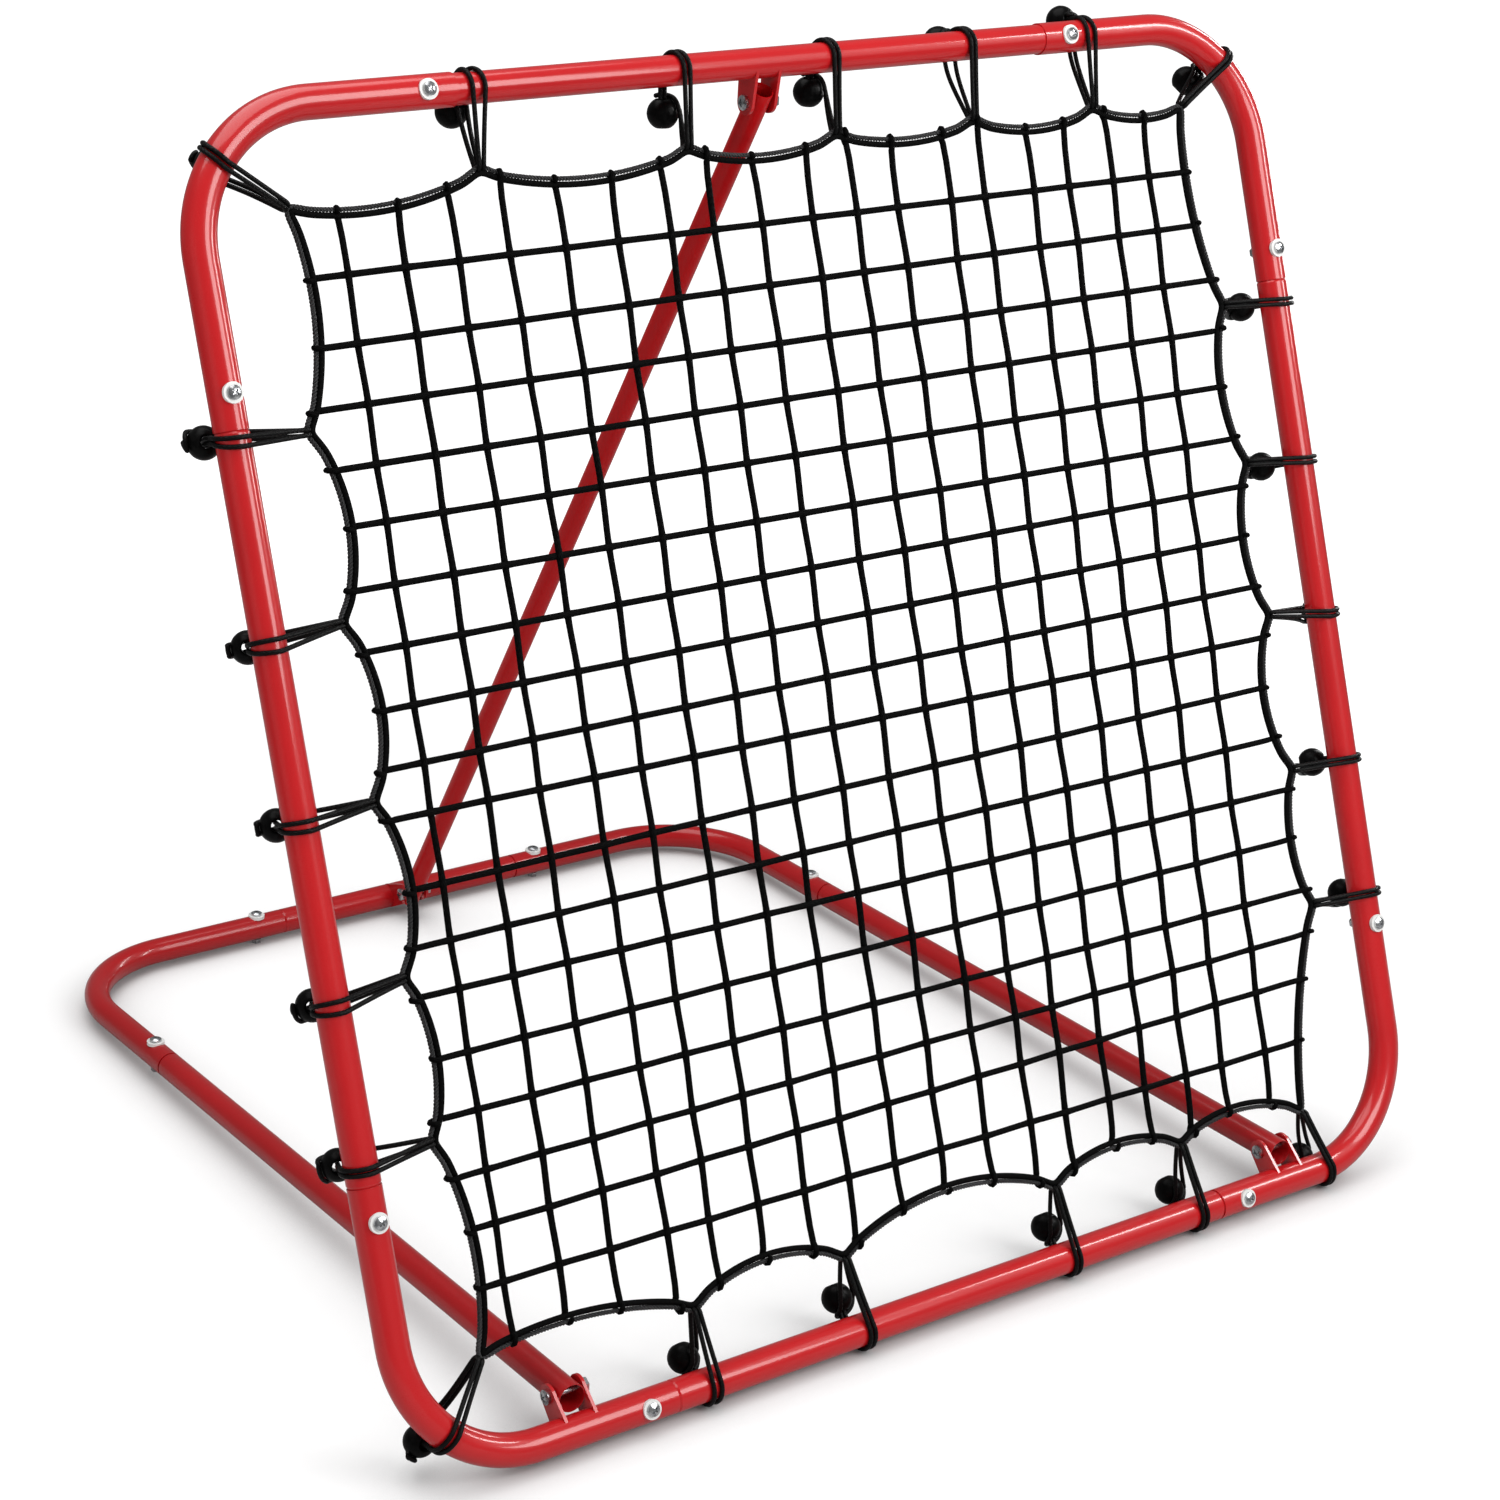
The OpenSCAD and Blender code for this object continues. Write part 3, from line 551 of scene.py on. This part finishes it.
def crossing(a, b, c, d):
    # how far along a-b and c-d the two lines meet, or None where they run side by side
    ab, cd, ac = b - a, d - c, c - a
    cross = ab[0] * cd[1] - ab[1] * cd[0]
    if abs(cross) < 1e-12:
        return None
    return (ac[0] * cd[1] - ac[1] * cd[0]) / cross, (ac[0] * ab[1] - ac[1] * ab[0]) / cross


def cutByEdge(a, b):
    # the part of the line a-b that lies inside the border cord's line
    cuts = []
    for i in range(len(borderLine)):
        met = crossing(a, b, borderLine[i - 1], borderLine[i])
        if met and 0 <= met[1] < 1:
            cuts.append(met[0])
    low = max(t for t in cuts if t < 0.5)
    high = min(t for t in cuts if t > 0.5)
    return a + (b - a) * low, a + (b - a) * high


def meshLines():
    sizes = netMesh
    columns = [cutByEdge(np.array([foot, sizes["footAt"]]) * mm,
                         np.array([top, sizes["topAt"]]) * mm)
               for top, foot in zip(sizes["columnTops"], sizes["columnFeet"])]
    rows = [cutByEdge(np.array([sizes["leftAt"], left]) * mm,
                      np.array([sizes["rightAt"], right]) * mm)
            for left, right in zip(sizes["rowsLeft"], sizes["rowsRight"])]
    return columns, rows


def crimpedCord(line, crossers, sign):
    # one mesh cord: over and under the cords that it crosses, and a little thicker where it does
    a, b = line
    span = np.linalg.norm(b - a)
    meets = []
    for index, other in enumerate(crossers):
        met = crossing(a, b, *other)
        if met and 0 < met[0] < 1 and 0 < met[1] < 1:
            meets.append((met[0], sign * (-1) ** index * netMesh["crimp"]))
    meets = [(0.0, 0.0)] + sorted(meets) + [(1.0, 0.0)]
    points, thick = [], []
    for (start, low), (end, high) in zip(meets, meets[1:]):
        for step in range(netMesh["perCell"]):
            share = step / netMesh["perCell"]
            along = start + (end - start) * share
            height = low + (high - low) * (1 - math.cos(math.pi * share)) / 2
            near = min(abs(along - place) for place, _ in meets[1:-1]) * span
            points.append([*(a + (b - a) * along), height])
            swell = math.exp(-(near / netMesh["swellReach"]) ** 2)
            thick.append(1 + netMesh["swell"] * swell)
    points.append([*b, 0.0])
    thick.append(1.0)
    return points, thick


# how far a hitch goes over the edge, knobs as a share of all hitches, and its turns in degrees
hitchKnot = {"knob": 5.1 * mm, "flush": 3.9 * mm, "knobs": 0.3, "high": 3.9 * mm,
             "outer": 1.9 * mm, "pitch": 3.5 * mm, "pitchFrom": 0.3, "start": 20, "turn": 300,
             "points": 14, "lead": 13 * mm, "thick": 0.80, "thinning": 4, "leastSlant": 0.75}
chance = random.Random(11)


def hitch(end, inward, side):
    # a mesh cord's end, straight on over the border cord and hem rope and back under them
    near = np.linalg.norm(borderLine - end, axis=1).argmin()
    along = borderLine[(near + 1) % len(borderLine)] - borderLine[near - 1]
    along /= np.linalg.norm(along)
    sizes = hitchKnot
    slant = max(abs(inward[0] * along[1] - inward[1] * along[0]), sizes["leastSlant"])
    wide = sizes["knob"] if chance.random() < sizes["knobs"] else sizes["flush"]
    points = []
    for step in range(sizes["points"]):
        share = step / (sizes["points"] - 1)
        turn = math.radians(sizes["start"] + (sizes["turn"] - sizes["start"]) * share)
        spot = end + inward * (wide * math.cos(turn) - sizes["outer"]) / slant
        spot = spot + along * sizes["pitch"] * max(0, share - sizes["pitchFrom"]) * side
        points.append([*spot, side * sizes["high"] * math.sin(turn)])
    return points


def hitchedCord(line, crossers, sign):
    # the whole cord, hitch to hitch, its tips drawn in to close it
    points, thick = crimpedCord(line, crossers, sign)
    sizes, flat = hitchKnot, np.array(points)[:, :2]
    a, b = line
    inward = (b - a) / np.linalg.norm(b - a)
    fromEnds = np.minimum(np.linalg.norm(flat - a, axis=1), np.linalg.norm(flat - b, axis=1))
    keep = np.flatnonzero(fromEnds > sizes["lead"])
    first, last = hitch(a, inward, sign), hitch(b, -inward, -sign)
    points = first[::-1] + [points[i] for i in keep] + last
    wrap = [1 - (1 - sizes["thick"]) * min(1, i / sizes["thinning"]) for i in range(len(first))]
    thick = wrap[::-1] + [thick[i] for i in keep] + wrap
    thick[0] = thick[-1] = 0.0
    return [onFrame(*p) for p in points], thick


columns, rows = meshLines()
cords = [hitchedCord(line, rows, (-1) ** i) for i, line in enumerate(columns)]
cords += [hitchedCord(line, columns, -(-1) ** i) for i, line in enumerate(rows)]
netCords = sweptCord("net_mesh", [cord[0] for cord in cords], netMesh["cordRadius"],
                     netMesh["step"], netMesh["sides"], meshCordBlack, [cord[1] for cord in cords])
for piece, node, slot in ((netCords, "net", "mesh_cord"), (border, "net_border", "border_cord"),
                          (rope, "net_hem_rope", "hem_rope")):
    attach(piece, "frame")
    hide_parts(node)
print("net mesh made")


# each bungee, in its own place: x along its tube, y out of the frame, z to the front
bungeeCord = {"radius": 1.8 * mm, "apart": 1.86 * mm, "clear": 0.15 * mm, "step": 1.6 * mm,
              "sides": 10}
bungeeBall = {"radius": 12 * mm, "bore": 4.3 * mm, "lip": 1.2 * mm, "lipTurns": (30, 60, 90),
              "seam": 0.12 * mm, "seamWide": 0.6, "rings": 28, "sides": 40}

# how a ball sits against its loop: the loop's outer side over the tube and its nose in the net,
# and the angle in degrees that the loop opens by
bungeeSeat = {"loopOut": 4.6 * mm, "bendGap": 0.4 * mm, "seat": 0.15 * mm, "spread": 8,
              "noseHigh": 2.2 * mm, "sideNose": 5.587 * mm, "cornerNose": 9.285 * mm,
              "looseFrom": 100 * mm, "jointReach": 12 * mm}

# in the bungees' order: ball angle behind the tube, shift along it as a share of the ball, gap
# between the front strands and their shift along the tube in mm, and the two angles round the
# ball's neck of the strands that come back
bungeeHang = [
    (102, 0, 1.2, -10.6, (82, 101)), (116, 0, 7, 2.8, (-68, -95)),
    (142, -0.08, 1.6, 2, (-62, 0)), (133, -0.09, 1.1, 2.2, (-60, 0)),
    (72, -0.07, 0.7, 1.2, (-48, -103)), (53, -0.03, 4.6, -1.7, (-58, -84)),
    (117, 0.12, 0.3, 4.5, (-80, -110)), (118, 0.12, 0.9, 4.5, (55, 125)),
    (128, 0.25, 0.9, 6.3, (55, 125)), (54, 0.3, 0.9, 8.5, (44, 106)),
    (107, 0.13, 0.3, 2.6, (45, 80)), (82, 0.16, 0.5, 2, (35, 65)),
    (102, -0.3, 0.3, -3.2, (-60, 178)), (123, -0.09, 1.6, -2.6, (-72, 180)),
    (132, -0.14, 1.3, -1.2, (-65, 180)), (133, -0.13, 1, -5, (-65, 180)),
    (124, 0.05, 3.5, 0, (-95, 178)), (68, 0.04, 2.2, 1, (98, 116)),
    (84, -0.15, 0.5, -5, (67, 140)), (89, -0.3, 4.8, -6.5, (110, 138)),
    (82, -0.15, 3.2, -4.7, (75, 108)), (87, -0.23, 5, -6.1, (75, 108)),
    (74, 0.17, 2.8, 0, (48, 80))]

# the cord's way before it is pulled tight, with points near the ball's neck given in mm: to the
# strand's side, out along the neck, and away from the tube
bungeeWay = {"inBall": 7 * mm, "outOfBall": 13 * mm, "overTube": -98, "tubeSteps": 12,
             "ease": 2.2, "ropeTurns": (60, 100, 140, 180, 220, 260, 290), "waist": 4 * mm,
             "overBack": (0, 10, 11), "underNeck": (6.6, 12.5, 0.8), "roundNeck": (2, 12.5, 3.4),
             "roundOut": 5 * mm, "last": (4, 14.2, 4.4), "bight": (0, 14.6, 4.8), "points": 320,
             "overBelow": -0.1, "underBelow": 0.2}

# how it is pulled: the rounds, the one part in five at each end that can be in the ball's hole,
# and where the neck and the bight reach to
bungeePull = {"rounds": 500, "tight": 0.5, "endShare": 5, "nearBall": 24 * mm,
              "threadHigh": 20 * mm, "bight": 48 * mm, "neckFrom": 8 * mm, "neckTo": 26 * mm,
              "neckIn": 1 * mm, "leastSpot": 0.2, "ballEdge": 0.98, "ground": 0.1 * mm,
              "bendFade": 30 * mm}
asideDir = np.array([1.0, 0, 0])
tiny = 1e-6


def rollTo(angle):
    return np.array([0.0, math.cos(math.radians(angle)), -math.sin(math.radians(angle))])


def tubeUnder(place):
    # radius of the tube under a bungee: the straight top tube is the thinner one
    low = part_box("corner_top_left")[1].x + bungeeSeat["jointReach"]
    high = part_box("corner_top_right")[0].x - bungeeSeat["jointReach"]
    if place[0] == "top" and low < place[1] < high:
        return (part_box("top_tube")[1].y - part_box("top_tube")[0].y) / 2
    return tubeRadius


def ballCentre(place, hang):
    sizes, radius = bungeeSeat, bungeeBall["radius"]
    corner = place[0] == "corners"
    outer = tubeUnder(place) + sizes["loopOut"] + (sizes["bendGap"] if corner else 0)
    loose = corner or (place[0] == "bottom" and place[1] > halfWidth - sizes["looseFrom"])
    nose = netEdge["inset"] - (sizes["cornerNose"] if loose else sizes["sideNose"])
    slope = math.asin(outer / math.hypot(nose, sizes["noseHigh"]))
    slope -= math.atan2(sizes["noseHigh"], nose)
    turn = 90 + math.degrees(slope)
    angle, shift = hang[0], hang[1] * 2 * radius
    apart = nose + (outer + radius) * math.cos(math.radians(angle))
    apart = apart * math.tan(math.radians(sizes["spread"])) - bungeeCord["radius"] - abs(shift)
    sunk = radius - math.sqrt(radius ** 2 - max(0, apart) ** 2)
    away = outer + radius - sunk + sizes["seat"]
    if angle > turn:
        away /= math.cos(math.radians(angle - turn))
    return rollTo(angle) * away + asideDir * shift


def evenPoints(corners, count):
    corners = np.array(corners)
    run = np.concatenate([[0], np.linalg.norm(np.diff(corners, axis=0), axis=1).cumsum()])
    at = np.linspace(0, run[-1], count)
    return np.stack([np.interp(at, run, corners[:, k]) for k in range(3)], axis=1)


def bungeeFit(place, hang, hook):
    # its ball, the way out of the ball (neck) and away from the tube there (back), the hem rope's
    # middle at its hook, and how near the cord's middle comes to the tube, the ball and the rope
    radius, clear = bungeeCord["radius"], bungeeCord["clear"]
    ball = ballCentre(place, hang)
    tubeReach = tubeUnder(place) + radius + clear
    tangent = hang[0] - math.degrees(math.acos(tubeReach / math.hypot(ball[1], ball[2])))
    back = rollTo(tangent)
    neck = np.cross(asideDir, back)
    out = outwardOf(place)
    fromTube = hook + out * (hemRope["out"] + hemRope["pull"]) - np.array(place[1:3])
    return {"ball": ball, "neck": -neck if neck @ ball > 0 else neck, "back": back,
            "tangent": tangent, "tubeReach": tubeReach,
            "ballReach": bungeeBall["radius"] + radius + clear,
            "hookAside": fromTube @ np.array([out[1], -out[0]]), "hookOut": fromTube @ out,
            "hookReach": hemRope["radius"] + radius + clear}


def nearNeck(fit, side, spot):
    aside, up, out = (v * mm for v in spot)
    return fit["ball"] + asideDir * side * aside + fit["neck"] * up + fit["back"] * out


def looseHalf(fit, hang, side, turned):
    # from inside the ball over the tube, round the hem rope and back over the ball's neck
    way, apart = bungeeWay, bungeeCord["apart"]
    ball, neck, back, tangent = fit["ball"], fit["neck"], fit["back"], fit["tangent"]
    front, shift = hang[2] * mm / 2 + bungeeCord["radius"], hang[3] * mm
    hole = ball + asideDir * side * apart
    path = [hole - neck * way["inBall"], hole + neck * way["outOfBall"]]
    for step in range(way["tubeSteps"] + 1):
        share = step / way["tubeSteps"]
        ease = 1 - (1 - share) ** way["ease"]
        spread = (apart + (front - apart) * ease) * side + ball[0] * (1 - ease) + shift * ease
        turn = tangent + (way["overTube"] - tangent) * share
        path.append(rollTo(turn) * fit["tubeReach"] + asideDir * spread)
    for turn in way["ropeTurns"]:
        spin = math.radians(turn)
        path.append(np.array([fit["hookAside"] + side * apart,
                              fit["hookOut"] + fit["hookReach"] * math.cos(spin),
                              fit["hookReach"] * math.sin(spin)]))
    spin = math.radians(turned)
    around = asideDir * math.cos(spin) + back * math.sin(spin)
    path.append(ball + around * fit["ballReach"] - neck * way["waist"])
    path.append(ball + around * fit["ballReach"] * bungeePull["ballEdge"] + neck * way["waist"])
    if side * math.cos(spin) < way["overBelow"]:     # over the back of the neck
        path.append(nearNeck(fit, side, way["overBack"]))
    elif math.sin(spin) < way["underBelow"]:         # between the ball and the tube
        path.append(nearNeck(fit, side, way["underNeck"]))
    else:
        path.append(nearNeck(fit, side, way["roundNeck"]) + around * way["roundOut"])
    return path + [nearNeck(fit, side, way["last"])]


# each of these moves the cord out of the thing in its name
def offTube(cord, fit, rest):
    far = np.hypot(cord[:, 1], cord[:, 2])
    touch = far < fit["tubeReach"]
    cord[touch, 1:] *= (fit["tubeReach"] / far[touch])[:, None]
    cord[touch, 0] = rest[touch, 0]


def offBall(cord, fit, rest, free):
    ball, reach = fit["ball"], fit["ballReach"]
    offset = cord - ball
    touch = (np.linalg.norm(offset, axis=1) < reach) & free
    edge = reach * bungeePull["ballEdge"]
    kept = np.clip(rest[touch, 0] - ball[0], -edge, edge)
    wanted = np.sqrt(reach ** 2 - kept ** 2)
    far = np.maximum(np.hypot(offset[touch, 1], offset[touch, 2]), tiny)
    cord[touch, 0] = ball[0] + kept
    cord[touch, 1:] = ball[1:] + offset[touch, 1:] * (wanted / far)[:, None]


def offNeck(cord, fit, free):
    # the strands that come back lie outside the two that leave the ball
    sizes, radius = bungeePull, bungeeCord["radius"]
    offset = cord - fit["ball"]
    up, out = offset @ fit["neck"], offset @ fit["back"]
    spot = np.hypot(offset[:, 0] / (bungeeCord["apart"] + 2 * radius), out / (2 * radius))
    touch = free & (up > sizes["neckFrom"]) & (up < sizes["neckTo"])
    touch &= (spot < 1) & (out > -sizes["neckIn"])
    grow = 1 / np.maximum(spot, sizes["leastSpot"])
    cord[touch, 0] = fit["ball"][0] + offset[touch, 0] * grow[touch]
    cord[touch] += (fit["back"] * ((grow - 1) * out)[:, None])[touch]


def offRope(cord, fit, side):
    reach = fit["hookReach"]
    out, high = cord[:, 1] - fit["hookOut"], cord[:, 2].copy()
    far = np.maximum(np.hypot(out, high), tiny)
    touch = far < reach
    cord[touch, 1] = fit["hookOut"] + out[touch] * reach / far[touch]
    cord[touch, 2] = high[touch] * reach / far[touch]
    cord[touch, 0] = fit["hookAside"] + side[touch] * bungeeCord["apart"]


def offGround(cord, free):
    height = bottomAxis.z - upDir.z * cord[:, 1] + frontDir.z * cord[:, 2]
    low = bungeeCord["radius"] + bungeePull["ground"] - height
    cord[:, 2] += np.maximum(low, 0) / frontDir.z * free


def bungeePath(place, hang, hook):
    # the cord from its ball to the hem rope and back twice, pulled tight over what it touches
    fit, pull = bungeeFit(place, hang, hook), bungeePull
    ball, neck = fit["ball"], fit["neck"]
    right, left = (looseHalf(fit, hang, side, turned) for side, turned in zip((1, -1), hang[4]))
    bight = nearNeck(fit, 1, bungeeWay["bight"])
    points = evenPoints(right + [bight] + left[::-1], bungeeWay["points"])
    rest, count = points.copy(), len(points)
    order = np.arange(count)
    spacing = np.linalg.norm(points[1] - points[0])
    side = np.where(order < count / 2, 1, -1)
    inBight = np.abs(order - count / 2) < pull["bight"] / spacing
    ends = np.minimum(order, count - 1 - order) < count // pull["endShare"]
    nearBall = np.linalg.norm(points - ball, axis=1) < pull["nearBall"]
    threaded = ends & nearBall & (np.abs((points - ball) @ neck) < pull["threadHigh"])
    for _ in range(pull["rounds"]):
        moved = points.copy()
        middle = (points[:-2] + points[2:]) / 2
        moved[1:-1] += pull["tight"] * (middle - points[1:-1])
        offTube(moved, fit, rest)
        offBall(moved, fit, rest, ~threaded)
        offNeck(moved, fit, ~threaded & inBight)
        offRope(moved, fit, side)
        if place[0] == "bottom":
            offGround(moved, ~threaded)
        moved[threaded] = rest[threaded]
        points = moved
    if place[0] == "corners":      # follows its tube's bend
        near = np.clip(1 + points[:, 1] / pull["bendFade"], 0, 1)
        points[:, 1] -= points[:, 0] ** 2 / (2 * netEdge["bendRadius"]) * near
    return points, ball, neck


def toFrame(place, point):
    out = outwardOf(place)
    return onFrame(place[1] + out[1] * point[0] + out[0] * point[1],
                   place[2] - out[0] * point[0] + out[1] * point[1], point[2])


def ballMesh():
    # a ball with a bored, lipped hole through it and a moulding seam round its middle
    sizes, rings = bungeeBall, bungeeBall["rings"]
    profile = []
    start = math.asin((sizes["bore"] + sizes["lip"]) / sizes["radius"])
    for step in range(rings + 1):
        turn = start + (math.pi - 2 * start) * step / rings
        proud = sizes["seam"] * math.exp(-((step - rings / 2) / sizes["seamWide"]) ** 2)
        reach = sizes["radius"] + proud
        profile.append((reach * math.sin(turn), reach * math.cos(turn)))
    top = sizes["radius"] * math.cos(start)
    lip = [(sizes["bore"] + sizes["lip"] * (1 - math.sin(t)),
            top - sizes["lip"] * (1 - math.cos(t))) for t in map(math.radians, sizes["lipTurns"])]
    profile = profile + [(r, -z) for r, z in lip] + [(r, z) for r, z in lip[::-1]]
    count, sides = len(profile), sizes["sides"]
    points = [(r * math.cos(fullTurn * k / sides), r * math.sin(fullTurn * k / sides), z)
              for k in range(sides) for r, z in profile]
    faces = [(k * count + i, k * count + (i + 1) % count,
              (k + 1) % sides * count + (i + 1) % count, (k + 1) % sides * count + i)
             for k in range(sides) for i in range(count)]
    mesh = bpy.data.meshes.new("bungee_ball")
    mesh.from_pydata(points, [], faces)
    return mesh


def ballTree():
    tree, graph = newTree("balls_on_points", {"Ball": "Object", "Finish": "Material"})
    given = graph.node("NodeGroupInput")
    ball = graph.node("GeometryNodeObjectInfo", None, {"Object": given.out("Ball")})
    turned = graph.node("FunctionNodeAlignRotationToVector", {"axis": "Z"},
                        {"Vector": named(graph, "neck", "FLOAT_VECTOR")})
    made = graph.node("GeometryNodeInstanceOnPoints", None, {
        "Points": given.out("Geometry"), "Instance": ball.out("Geometry"), "Rotation": turned})
    made = graph.node("GeometryNodeRealizeInstances", None, {"Geometry": made})
    made = graph.node("GeometryNodeRemoveAttribute", None, {"Geometry": made, "Name": "neck"})
    endTree(graph, made, given.out("Finish"))
    return tree


oneBall = bpy.data.objects.new("one_ball", ballMesh())
bpy.context.collection.objects.link(oneBall)
ballsOnPoints = ballTree()
bungeeLengths = {}
for side in ("top", "left", "right", "bottom", "corners"):
    paths, thick, centres, necks = [], [], [], []
    for place, hang, hook in zip(bungees, bungeeHang, hooks):
        if place[0] != side:
            continue
        points, ball, neck = bungeePath(place, hang, hook)
        paths.append([toFrame(place, p) for p in points])
        thick.append([0.0] + [1.0] * (len(points) - 2) + [0.0])
        centres.append(toFrame(place, ball))
        necks.append(toFrame(place, ball + neck) - toFrame(place, ball))
        bungeeLengths.setdefault(side, []).append(
            round(float(np.linalg.norm(np.diff(points, axis=0), axis=1).sum()) / mm))
    loops = sweptCord(f"bungee_{side}", paths, bungeeCord["radius"], bungeeCord["step"],
                      bungeeCord["sides"], bungeeBlack, thick)
    source = pathsObject(f"balls_{side}_points", [[c] for c in centres])
    source.data.attributes.new("neck", "FLOAT_VECTOR", "POINT").data.foreach_set(
        "vector", [c for n in necks for c in n])
    balls = runTree(source, ballsOnPoints, f"balls_{side}", {"Ball": oneBall, "Finish": ballBlack})
    for piece, node, slot in ((loops, f"bungee_cords_{side}", "bungee_cord"),
                              (balls, f"bungee_balls_{side}", "bungee_ball")):
        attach(piece, "frame")
        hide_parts(node)
bpy.data.objects.remove(oneBall)
print("bungees made, cord lengths in mm:", bungeeLengths)


# floor, lights and camera
studio = {"floorSize": 8.0, "floorGrey": 0.45, "floorVary": 0.01, "floorScale": 3.0,
          "floorRoughness": 0.9, "glow": 0.66, "shadeReach": 0.10, "shadeDepth": 1.3,
          "shadeSamples": 12, "fadeFrom": 0.75, "fadeTo": 1.5, "skyGrey": 0.20}


def cameraRays(graph):
    # camera rays, and those that a clear surface sends on
    rays = graph.node("ShaderNodeLightPath")
    return rays.calc("MAXIMUM", rays.out("Is Transmission Ray"))


def buildFloor(graph):
    # white, with a painted close shadow where the object stands near it: ambient occlusion darkens
    # the glow that the camera sees
    coords = objectCoords(graph)
    greys = [shade(*[studio["floorGrey"] + v * studio["floorVary"]] * 3) for v in (-1, 1)]
    tint = graph.blend(graph.noise(coords, studio["floorScale"]), *greys)
    plain = surfaceOf(graph, {"Base Color": tint, "Roughness": studio["floorRoughness"],
                              "Specular IOR Level": 0.0})
    # ambient occlusion here is a painted shadow on the floor's glow
    near = graph.node("ShaderNodeAmbientOcclusion", {"samples": studio["shadeSamples"]},
                      {"Distance": studio["shadeReach"]}).out("AO")
    away = graph.vector("LENGTH", coords).out("Value")
    far = graph.between(away, studio["fadeFrom"], studio["fadeTo"])
    level = studio["glow"] * (1.0 - (1.0 - near) * studio["shadeDepth"]).calc("MAXIMUM", 0.0)
    level = graph.node("ShaderNodeCombineXYZ", None, dict(enumerate([level] * 3)))
    glow = graph.node("ShaderNodeEmission", None,
                      {"Color": graph.blend(far, level, shade(1, 1, 1))})
    lit = graph.node("ShaderNodeAddShader", None, {0: plain, 1: glow})
    return graph.node("ShaderNodeMixShader", None, {0: cameraRays(graph), 1: plain, 2: lit})


size = studio["floorSize"]
floorCorners = [(-size, -size, 0), (size, -size, 0), (size, size, 0), (-size, size, 0)]
floorMesh = bpy.data.meshes.new("floor")
floorMesh.from_pydata(floorCorners, [], [(0, 1, 2, 3)])
floor = bpy.data.objects.new("floor", floorMesh)
bpy.context.collection.objects.link(floor)
floorMesh.materials.append(newMaterial("floor_white", buildFloor))

world = bpy.data.worlds.new("studio")
bpy.context.scene.world = world
world.use_nodes = True
world.node_tree.nodes.clear()
sky = Graph(world.node_tree)
tint = sky.blend(cameraRays(sky), shade(*[studio["skyGrey"]] * 3), shade(1, 1, 1))
background = sky.node("ShaderNodeBackground", None, {"Color": tint})
sky.node("ShaderNodeOutputWorld", None, {"Surface": background})

# each light's place, target, size and power, and the rays that pass it by
softLights = {
    "key": ((0.75, -2.1, 1.9), (0, 0, 0.4), (1.2, 1.5), 42, None),
    "overhead": ((-0.3, 0.3, 2.6), (0, 0, 0.2), (2.2, 2.0), 38, None),
    "left_fill": ((-2.3, -0.7, 1.0), (0, 0, 0.45), (1.2, 1.6), 12, "glossy"),
    "low_fill": ((-0.4, -2.4, 0.5), (0, 0, 0.2), (1.6, 0.6), 8, "glossy"),
    "side_strip": ((1.8, -1.15, 1.65), (0, 0, 0.8), (0.24, 1.2), 22, "diffuse"),
    "edge_strip": ((1.75, 0.35, 1.0), (0, 0, 0.8), (0.12, 1.2), 9, "diffuse")}
for name, (place, target, size, power, unseen) in softLights.items():
    lamp = bpy.data.lights.new(name, "AREA")
    lamp.shape, lamp.size, lamp.size_y = "RECTANGLE", *size
    lamp.energy = power
    light = bpy.data.objects.new(name, lamp)
    bpy.context.collection.objects.link(light)
    light.location = place
    light.rotation_euler = (Vector(target) - Vector(place)).to_track_quat("-Z", "Y").to_euler()
    if unseen:
        setattr(light, "visible_" + unseen, False)

camera = {"place": (-1.53178, -2.11891, 1.39928), "azimuth": -37.38, "height": 22.34,
          "roll": -3.43, "lens": 81.455, "sensor": 36.0, "nearClip": 0.05}


def viewAxes(azimuth, height, roll):
    a, e, r = (math.radians(v) for v in (azimuth, height, roll))
    right = Vector((math.cos(a), math.sin(a), 0))
    back = Vector((math.sin(a) * math.cos(e), -math.cos(a) * math.cos(e), math.sin(e)))
    up = back.cross(right)
    return (right * math.cos(r) - up * math.sin(r), right * math.sin(r) + up * math.cos(r), back)


lens = bpy.data.cameras.new("camera")
lens.lens, lens.sensor_width = camera["lens"], camera["sensor"]
lens.clip_start = camera["nearClip"]
cameraObject = bpy.data.objects.new("camera", lens)
bpy.context.collection.objects.link(cameraObject)
axes = viewAxes(camera["azimuth"], camera["height"], camera["roll"])
cameraObject.matrix_world = Matrix.Translation(camera["place"]) @ Matrix(axes).transposed().to_4x4()
bpy.context.scene.camera = cameraObject
bpy.context.scene.view_settings.view_transform = "Standard"
print("floor, lights and camera made")

bpy.context.view_layer.update()
